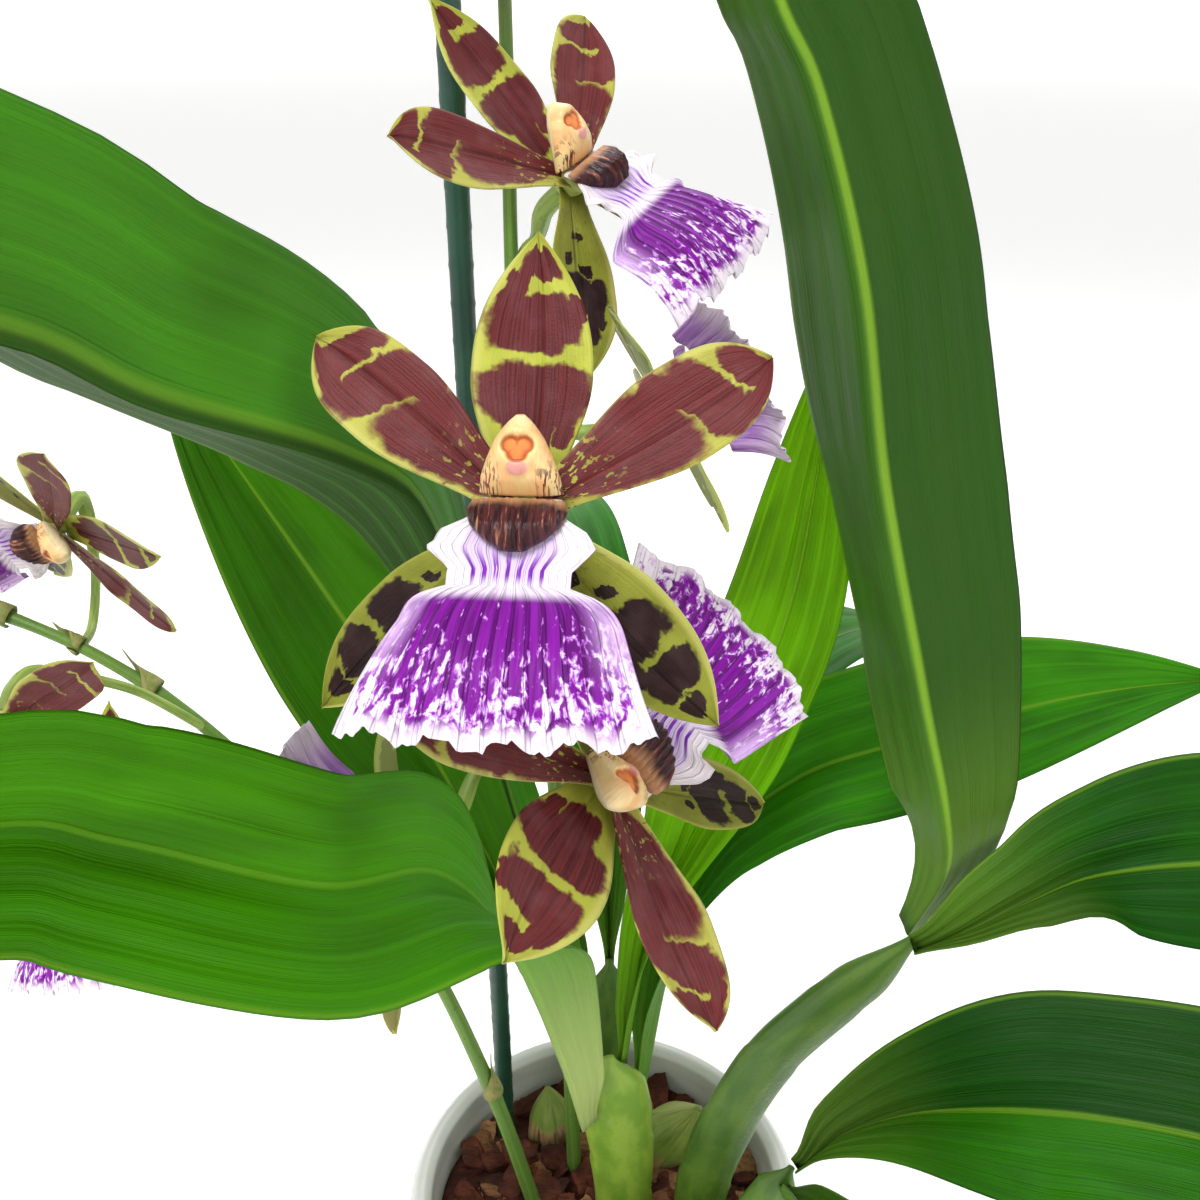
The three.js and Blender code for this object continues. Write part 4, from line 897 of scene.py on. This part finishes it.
def make_bulbs():
    """Ribbed, wrinkled pseudobulbs, each tilted its own way."""
    for number, (name, (at, half, ribs, tilt)) in enumerate(BULBS.items()):
        piece = Piece(name + "_ribbed")
        rows, columns = 40, ribs * 12
        share = 0.06 + 0.9 * np.linspace(0, 1, rows)[:, None]
        turn = turns(columns)[None, :]
        swell = np.sin(np.pi * share**0.8)
        rib = 1 + 0.05 * np.cos(turn * ribs) * np.minimum(1, swell * 1.3)
        level = np.zeros((rows, columns))
        wrinkle = value_noise(np.stack([turn * 6 + level, share * 9 + level, level], -1), number)
        rib = rib + (wrinkle - 0.5) * 0.03
        p = np.stack([half[0] * swell * rib * np.cos(turn), half[1] * swell * rib * np.sin(turn),
                      (share * 2 - 0.55) * half[2] + level], -1)
        a, b = (math.radians(x) for x in tilt)
        about_x = np.array([[1, 0, 0], [0, math.cos(a), -math.sin(a)], [0, math.sin(a), math.cos(a)]])
        about_y = np.array([[math.cos(b), 0, math.sin(b)], [0, 1, 0], [-math.sin(b), 0, math.cos(b)]])
        p = p @ (about_x @ about_y).T + np.array(at)
        blade = unrolled(columns, np.linspace(0, 1, rows))
        piece.grid(p, blade, BULB_LOOK, (number * 1.7, 1), wrap=True, caps=True)
        piece.make([name], "pseudobulb")


def make_shoots():
    """Sheaths that wrap each other in turn, each one ending in a slanted lip along the bundle."""
    for number, (name, (line, flat, half, deep)) in enumerate(SHOOTS.items()):
        piece = Piece(name + "_sheaths")
        path = Line(line)
        wraps = 3 if len(line) < 5 else 5

        def sizes(u, half=half, deep=deep):
            end = 1 - SHEATH["by"] * smooth(SHEATH["narrows"], 1, u)
            return (between(half, u) - SHEATH["inset"]) * end, (between(deep, u) - SHEATH["inset"]) * end

        def ripple(u, turn, wraps=wraps, number=number):
            phase = turn / TAU + number * 0.37
            climb = (u * wraps + 0.42 * np.cos(turn - number)) % 1.0
            edge = 0.055 * (1 - smooth(0.9, 1.0, climb))
            return 0.985 + edge * climb + 0.008 * np.cos(turn * 17 + phase)

        # Shoots other than the central one take the darker material, which is painted shade.
        tube(piece, path, sizes, 26 * wraps, 60, SHOOT_LOOKS[min(1, number)], seed=number * 2.1,
             ripple=ripple, wide=flat)
        piece.make([name], "leafy_shoot")


def make_stake():
    """A rod with faint rings and a domed top."""
    piece = Piece("stake_rod")
    line = Line([(STAKE["x"], STAKE["y"], z) for z in (STAKE["foot"], 200, 350, STAKE["top"])])

    def radius(u):
        end = clamp01((1 - u) * line.length / STAKE["dome"])
        rings = 0.16 * smooth(0.72, 0.98, np.cos(u * line.length / STAKE["ring"] * TAU))
        return (STAKE["radius"] - 0.12 + rings) * np.sqrt(1 - (1 - end) ** 2 * 0.96)

    tube(piece, line, radius, 340, 28, STAKE_LOOK)
    piece.make(["stake"], "stake")


def make_clips():
    """Two rings each, one round the stake and one round the stem, with a bar between them."""
    stem = Line(SPIKES["spike_main"]["line"])
    corners, steps = 16, 48
    for name, height in CLIP["heights"].items():
        shares = np.arange(0, 1, 0.002)
        root = stem.point(shares[np.argmax(stem.point(shares)[:, 2] >= height)])
        piece = Piece(name + "_rings")
        stake = np.array([STAKE["x"], STAKE["y"], root[2]])
        rod = unit(root - stake)
        z = CLIP["thickness"] / 2
        for centre, hole in ((stake, STAKE["radius"] + SEAT * 0.4), (root, STEM["radius"] + SEAT)):
            wall = CLIP["wall"] * 0.95
            section = np.linspace(0, TAU, corners + 1)[:-1]
            r = hole + wall / 2 + wall / 2 * np.sign(np.cos(section)) * np.abs(np.cos(section)) ** 0.5
            h = z * np.sign(np.sin(section)) * np.abs(np.sin(section)) ** 0.5
            turn = np.arange(steps + 1)[:, None] / steps * TAU
            ring = np.stack([centre[0] + r * np.cos(turn), centre[1] + r * np.sin(turn),
                             centre[2] + h + 0 * turn], -1)
            blade = unrolled(corners, np.linspace(0, 1, steps + 1))
            piece.grid(ring[::-1], blade, CLIP_LOOK, wrap=True)
        start = stake + rod * (STAKE["radius"] + SEAT + CLIP["wall"] * 0.5)
        end = root - rod * (STEM["radius"] + SEAT + CLIP["wall"] * 0.5)
        if np.dot(end - start, rod) > 0.5:
            bar = Line([start, start * 0.5 + end * 0.5, end])
            halves = (z * 0.95, CLIP["bar"] / 2)
            tube(piece, bar, lambda u: tuple(0 * u + half for half in halves), 6, 20, CLIP_LOOK,
                 wide=(0, 0, 1))
        piece.make([name], "clip")


# Spikes


def make_spike(name, spike, number):
    """A flower stem with its bloom stalks, buds and bracts."""
    piece = Piece(name + "_stems")
    path = Line(spike["line"])

    def joint(u):
        """A little swelling where a bract clasps the stem."""
        past = [(u - share - 0.004) * path.length / 5 for share in spike["bracts"]]
        return sum(np.exp(-(far**2)) for far in past)

    tube(piece, path, lambda u: STEM["radius"] + (STEM["tip"] - STEM["radius"]) * u + 0.25 * joint(u),
         240, 20, STEM_LOOK, seed=number)
    for k, (at, faces, _, size, share, stalk) in enumerate(spike["blooms"]):
        way = unit(faces)
        end = (SEAT - HUB["back"]) * size
        behind = [np.array(at) - way * far for far in (end + STALK["straight"], end - STALK["longer"])]
        route = Line([path.point(share), *stalk, *behind])

        def radius(u):
            return STALK["radius"] + (STALK["ovary"] - STALK["radius"]) * smooth(0.45, 0.8, u)

        def ripple(u, turn):
            return 1 + 0.07 * np.cos(turn * STALK["grooves"] + u * 5) * smooth(0.4, 0.7, u)

        tube(piece, route, radius, 60, 24, STALK_LOOK, seed=number + k * 1.3, ripple=ripple)
        # A papery bract under each stalk.
        foot = path.point(share)
        away = unit(route.point(0.25) - foot)
        add_bract(piece, foot, path.tangent(share), away, 11, 2.6, seed=k + 0.5)
    for k, (share, to, length) in enumerate(spike["buds"]):
        root = path.point(share)
        tip = root + unit(to) * length * BUD["whole"]
        line = Line([root, root * 0.5 + tip * 0.5, tip])

        def radius(u, length=length):
            past = (u - BUD["stalk"]) / (1.01 - BUD["stalk"])
            full = 0.3 + length * BUD["swell"] * np.sin(np.pi * np.clip(past, 0, 1)) ** 0.9
            return np.maximum(np.where(past < 0, 0, full), STALK["radius"] * 0.8 * (1 - smooth(0.5, 1, u)))

        def ripple(u, turn):
            seam = np.abs(np.cos(turn * 1.5 + 0.5)) ** 10
            return 1 - 0.1 * seam * smooth(0.45, 0.7, u)

        tube(piece, line, radius, 60, 30, BUD_LOOK, seed=number + k * 2.1, ripple=ripple)
    for share in spike["bracts"]:
        root, tangent = path.point(share), path.tangent(share)
        away = without(np.array([math.cos(share * 40), math.sin(share * 40), 0.2]), tangent)
        add_bract(piece, root, tangent, away, 15, 3.0, seed=share * 9)
    piece.make([name], "flower_spike")


def add_bract(piece, root, tangent, away, length, width, seed):
    """A dry sheath that clasps the stem and opens to a point."""
    side = np.cross(tangent, away)
    away = np.cross(side, tangent)

    def surface(u, v):
        hold = 1 - smooth(0.1, 0.75, u)
        turn = v * (2.5 * hold + 0.5)
        reach = width * (1 - u**2.2) * (0.9 + 0.1 * hold) + 0.15
        lean = 0.2 + 4.4 * u**1.8
        x = np.sin(turn) * reach
        y = np.cos(turn) * reach * (0.35 + 0.65 * hold) + lean
        return root + side * x[..., None] + away * y[..., None] + tangent * (length * u)[..., None]

    shell(piece, surface, 18, 12, 0.35, BRACT_LOOK, seed=seed)


# Leaves


def leaf_surface(leaf):
    """The middle of a leaf's blade: folded at its midrib, pleated, and rippled at its edges."""
    width, ripple, waves, swell, neck, taper, line, faces, folds = leaf[:9]
    rib = Line(line)

    def surface(u, v):
        tangent = rib.tangent(u)
        up = without(between(faces, u), tangent)
        side = np.cross(up, tangent)
        body = neck + (1 - neck) * smooth(swell[0], swell[1], u)
        outline = body * (1 - clamp01((u - taper) / (1 - taper)) ** 1.8)
        half = np.maximum(0.6, width / 2 * outline * (0.5 + 0.5 * smooth(0, 0.09, u)))
        fold = np.radians(between(folds, u))
        out = np.abs(v)
        edge = np.where(v > 0, 0.9, 3.4)
        wave = ripple * v * v * smooth(0.15, 0.45, u) * np.sin(TAU * waves * u + edge)
        pleat = 0.28 * np.cos(v * TAU * 3.5) * smooth(0.1, 0.3, u) * (1 - out**4) * smooth(0, 0.5, outline)
        keel = -0.55 * np.exp(-((v * half / 1.6) ** 2)) * smooth(0, 0.2, 1 - u)
        rise = half * np.sin(fold) * out * (1.25 - 0.25 * out) + wave + pleat + keel
        return (rib.point(u) + side * (half * v * np.cos(fold) * (1.08 - 0.08 * out))[..., None]
                + up * rise[..., None])

    return surface


def make_leaves():
    for number, (name, leaf) in enumerate(LEAVES.items()):
        look = leaf_material(name + "_look", leaf[0], *leaf[9:11], *VEINS.get(name, ()))
        piece = Piece(name + "_blade")
        shell(piece, leaf_surface(leaf), 110, 33, BLADE * 0.9, look, seed=number * 3.3)
        piece.make([name], "leaf")


# Blooms


def tepal_surface(tepal, number):
    """The middle of a sepal or petal, in the bloom's own frame."""
    angle, reach, width, foot, widest, blunt, level, lean = tepal
    out = np.array([math.cos(math.radians(angle)), math.sin(math.radians(angle)), 0])
    side = np.array([-out[1], out[0], 0])

    def surface(u, v):
        past = clamp01((u - widest) / (1 - widest))
        outline = (foot + (1 - foot) * smooth(0, widest, u)) * (1 - past**blunt)
        half = np.maximum(0.3, width / 2 * outline)
        wave = 0.45 * v * v * np.sin(u * 11 + np.where(v > 0, 0, 2.2) + number) * smooth(0.2, 0.6, u)
        keel = -0.25 * np.exp(-((v * half / 0.8) ** 2))
        rise = level + lean * u * u + 0.12 * half * v * v - 0.5 * (1 - np.abs(v)) + wave + keel
        far = HUB["root"] + (reach - HUB["root"]) * u
        return out * far[..., None] + side * (half * v)[..., None] + np.array([0, 0, 1]) * rise[..., None]

    return surface


def lip_surface(t, s):
    """The middle of the lip: a claw with side lobes, then a wide lobe that ends in a frill."""
    claw = clamp01(t / LIP["claw"])
    lobe = clamp01((t - LIP["claw"]) / (1 - LIP["claw"]))
    spread = LIP["shoulder"] * (1 - np.exp(-lobe / 0.07)) + LIP["flare"] * lobe**1.25
    half = between(LIP["halves"], claw) + spread
    out = np.abs(s)
    rim = lobe**5
    ripple = LIP["frill"] * rim * np.sin(s * 15)
    fine = 0.35 * lobe**9 * (np.sin(s * 47) + 0.6 * np.sin(s * 83 + 1))
    drop = (LIP["end"] - LIP["waist"]) * lobe + 1.6 * s * s * lobe + ripple + fine
    y = LIP["top"] + (LIP["waist"] - LIP["top"]) * claw + drop
    cup = 0.16 * half * s * s * np.sin(np.pi * claw)
    # The side lobes curl out and are notched.
    ear = np.exp(-(((claw - 0.6) / 0.2) ** 2)) * smooth(0.6, 1, out) * (lobe <= 0)
    arch = LIP["bulge"] * np.sin(np.pi * lobe) + LIP["reach"] * lobe**0.85
    roll = LIP["roll"] * smooth(0.45, 1, out) * smooth(0, 0.25, lobe) * (1.15 - 0.6 * lobe)
    furrow = 0.22 * np.cos(s * 46) * smooth(0, 0.1, lobe) * (1 - smooth(0.3, 0.9, lobe))
    rise = LIP["rise"][0] + (LIP["rise"][1] - LIP["rise"][0]) * claw
    z = rise + cup + arch - roll + ripple * 1.4 + fine * 1.2 + furrow + ear * 1.4 * np.sin(claw * 22)
    return np.stack([half * s + 0 * y, y, z], -1)


def fleshy(piece, sections, columns, rows, lean, material, seed, shape=None):
    """A smooth body through sections that stand one above the other; shape pushes its points out or in."""
    line = Line([(s[0], s[1], 0) for s in sections])
    u = np.linspace(0, 1, rows)
    middle = line.at(u)
    table = np.array(sections, float)
    half, deep = between(table[:, 2:], u).T
    turn = turns(columns)
    across, front = np.cos(turn), np.sin(turn)
    x = -half[:, None] * across
    y = middle[:, :1] - lean * deep[:, None] * front
    z = middle[:, 1:2] + deep[:, None] * front
    points = np.stack([x, y, z], -1)
    if shape is not None:
        points = shape(points, np.broadcast_to(front, x.shape))
    widest = table[:, 2].max()
    low, high = table[0, 0], table[-1, 0]
    wrapped = np.concatenate([points, points[:, :1]], 1)
    blade = np.stack([wrapped[..., 0] / widest * 0.5 + 0.5, (wrapped[..., 1] - low) / (high - low)], -1)
    facing = np.concatenate([front, front[:1]]) > -0.2
    kind = np.stack([np.full(blade.shape[:2], seed), facing * np.ones((rows, 1))], -1)
    piece.grid(points, clamp01(blade), material, kind, wrap=True, caps=True)


def column_shape(points, front):
    """The face of the column: a cap that overhangs a heart-shaped hollow, with a drop below it."""
    x, y = points[..., 0], points[..., 1]
    low, high = COLUMN[0][0], COLUMN[-1][0]
    u = (y - low) / (high - low)
    v = np.abs(x) / COLUMN[0][2]
    face = smooth(0.1, 0.8, front)
    lobes = ((v - 0.15) / 0.24) ** 2 + ((u - 0.54) / 0.13) ** 2
    point = (v / 0.26) ** 2 + ((u - 0.45) / 0.16) ** 2
    heart = 1 - smooth(0.4, 1.6, np.minimum(lobes, point))
    drop = 1 - smooth(0.3, 1.3, (v / 0.26) ** 2 + ((u - 0.22) / 0.12) ** 2)
    cap = np.exp(-(((u - 0.74) / 0.1) ** 2))
    push = face * (0.5 * cap - 0.9 * heart + 0.5 * drop)
    return points + np.array([0, 0, 1]) * push[..., None]


def callus_shape(points, front):
    """Keels that run down the callus."""
    x = points[..., 0]
    keel = 0.32 * np.cos(x * 4.6) * smooth(0, 0.6, front)
    return points + np.array([0, 0, 1]) * keel[..., None]


def make_bloom(number, bloom):
    """Three pieces, made in the bloom's own frame and then placed: tepals on their hub, lip and column."""
    at, faces, top, size = bloom[:4]
    out = unit(faces)
    side = unit(np.cross(top, out))
    up = np.cross(out, side)
    basis = np.stack([side, up, out]) * size
    name = f"bloom_{number + 1}"
    seed = number * 1.37

    def placed(piece):
        piece.points = [p @ basis + np.array(at) for p in piece.points]
        return piece

    tepals = Piece(name + "_sepals_and_petals")
    for k, (kind, tepal) in enumerate(TEPALS.items()):
        flip = -1 if kind in ("dorsal", "petal_left", "sepal_left") else 1
        look = TEPAL_LOOKS[kind.split("_")[0]]
        shell(tepals, tepal_surface(tepal, number + k), 44, 21, PETAL, look, flip, seed + k)
    hub = Line([(0, 0, HUB["back"]), (0, 0, -1), (0, 0, HUB["front"])])
    tube(tepals, hub, lambda u: HUB["radius"] * np.sqrt(1 - 0.5 * (2 * u - 1) ** 8), 9, 24, HUB_LOOK,
         seed=seed)
    placed(tepals).make([name + "_tepals"], "tepal")

    lip = Piece(name + "_labellum")
    shell(lip, lip_surface, 76, 81, PETAL, LIP_LOOK, seed=seed)
    fleshy(lip, CALLUS, 96, 30, 0, CALLUS_LOOK, seed, callus_shape)
    placed(lip).make([name + "_lip"], "lip")

    column = Piece(name + "_gynostemium")
    fleshy(column, COLUMN, 72, 44, 0.45, COLUMN_LOOK, seed, column_shape)
    placed(column).make([name + "_column"], "column")


# Making

POT_LOOK = pot_material()
BARK_LOOK = bark_material()
BULB_LOOK = bulb_material()
# The second shoot material is the first at about six tenths its brightness: painted shade for the shoots other
# than the central one, which stand in shade.
SHOOT_LOOKS = [stem_material("shoot_pale", (140, 170, 58), (112, 150, 42), (84, 124, 34)),
               stem_material("shoot_shaded", (84, 116, 34), (62, 98, 24), (44, 76, 18))]
STEM_LOOK = stem_material("stem", (104, 140, 52), (84, 118, 44), (70, 60, 36))
STALK_LOOK = stem_material("stalk", (150, 172, 84), (122, 150, 62), (112, 84, 52))
BUD_LOOK = stem_material("bud", (140, 168, 66), (172, 188, 88), (104, 72, 50))
BRACT_LOOK = stem_material("bract", (150, 140, 84), (112, 128, 60), (84, 58, 40), rough=0.7)
HUB_LOOK = stem_material("hub", (190, 200, 110), (170, 186, 90), (140, 120, 80))
STAKE_LOOK = plastic_material("stake", (18, 56, 44), (24, 68, 50), 0.34)
CLIP_LOOK = plastic_material("clip", (40, 116, 54), (48, 128, 60), 0.4)
TEPAL_LOOKS = {
    "dorsal": tepal_material("dorsal", DORSAL_SPOTS, 0.0, (158, 162, 58), (98, 34, 36), (70, 20, 24)),
    "petal": tepal_material("petal", PETAL_SPOTS, -0.06, (158, 156, 64), (106, 39, 40), (76, 23, 26),
                            freckles=1.0),
    # The sepal colours are darker copies of the dorsal and petal colours: painted shade, taken from bloom 1's
    # lower sepals in the shadow of its lip, and every bloom's sepals carry it.
    "sepal": tepal_material("sepal", SEPAL_SPOTS, 0.0, (120, 124, 38), (36, 13, 11), (24, 8, 9), 0.06, 0.35),
}
LIP_LOOK = lip_material()
CALLUS_LOOK = callus_material()
COLUMN_LOOK = column_material()

make_pot()
make_bark()
make_stake()
make_bulbs()
make_shoots()
for order, (spike_name, spike_data) in enumerate(SPIKES.items()):
    make_spike(spike_name, spike_data, order)
make_clips()
make_leaves()
for order, bloom_data in enumerate(BLOOMS):
    make_bloom(order, bloom_data)

# Floor, light and camera


def make_backdrop(name, points, faces, glow):
    mesh = bpy.data.meshes.new(name)
    mesh.from_pydata(points, [], faces)
    backdrop = bpy.data.objects.new(name, mesh)
    bpy.context.scene.collection.objects.link(backdrop)
    g = Graph(name, roughness=0.9, specular=0.1)
    g.colour((248, 248, 247))
    g.glow(glow)
    mesh.materials.append(g.material)


def make_floor():
    far = FLOOR["reach"]
    corners = [(-far, -far, 0), (far, -far, 0), (far, far, 0), (-far, far, 0)]
    make_backdrop("floor", corners, [(0, 1, 2, 3)], FLOOR["glow"])


def make_wall():
    """A pale wall far round the plant, so that the floor has no dark horizon."""
    sides, far = WALL["sides"], WALL["far"]
    angles = [TAU * k / sides for k in range(sides)]
    points = [(far * math.cos(a), far * math.sin(a), z) for z in (0, WALL["high"]) for a in angles]
    faces = [(k, (k + 1) % sides, (k + 1) % sides + sides, k + sides) for k in range(sides)]
    make_backdrop("wall", points, faces, WALL["glow"])


def make_light(name, place, aim, size, power):
    data = bpy.data.lights.new(name, "AREA")
    data.shape = "DISK"
    data.size = size
    data.energy = power
    light = bpy.data.objects.new(name, data)
    light.location = place
    way = np.array(place) - np.array(aim)
    tip = math.atan2(math.hypot(way[0], way[1]), way[2])
    light.rotation_euler = (tip, 0, math.atan2(way[0], -way[1]))
    bpy.context.scene.collection.objects.link(light)


def make_camera():
    data = bpy.data.cameras.new("camera")
    data.sensor_width = 36
    data.sensor_fit = "HORIZONTAL"
    data.angle = 2 * math.atan(CAMERA["half_picture"] / CAMERA["focal_length"])
    data.clip_start = 0.005
    camera = bpy.data.objects.new("camera", data)
    camera.location = CAMERA["place"]
    camera.rotation_euler = (math.radians(CAMERA["tip"]), 0, 0)
    bpy.context.scene.collection.objects.link(camera)
    bpy.context.scene.camera = camera


make_floor()
make_wall()
for light_name, light_data in LIGHTS.items():
    make_light(light_name, *light_data)
world = bpy.data.worlds.new("studio")
bpy.context.scene.world = world
world.use_nodes = True
background = world.node_tree.nodes["Background"]
background.inputs["Color"].default_value = (1, 1, 1, 1)
background.inputs["Strength"].default_value = SKY
bpy.context.scene.view_settings.view_transform = "Standard"
make_camera()
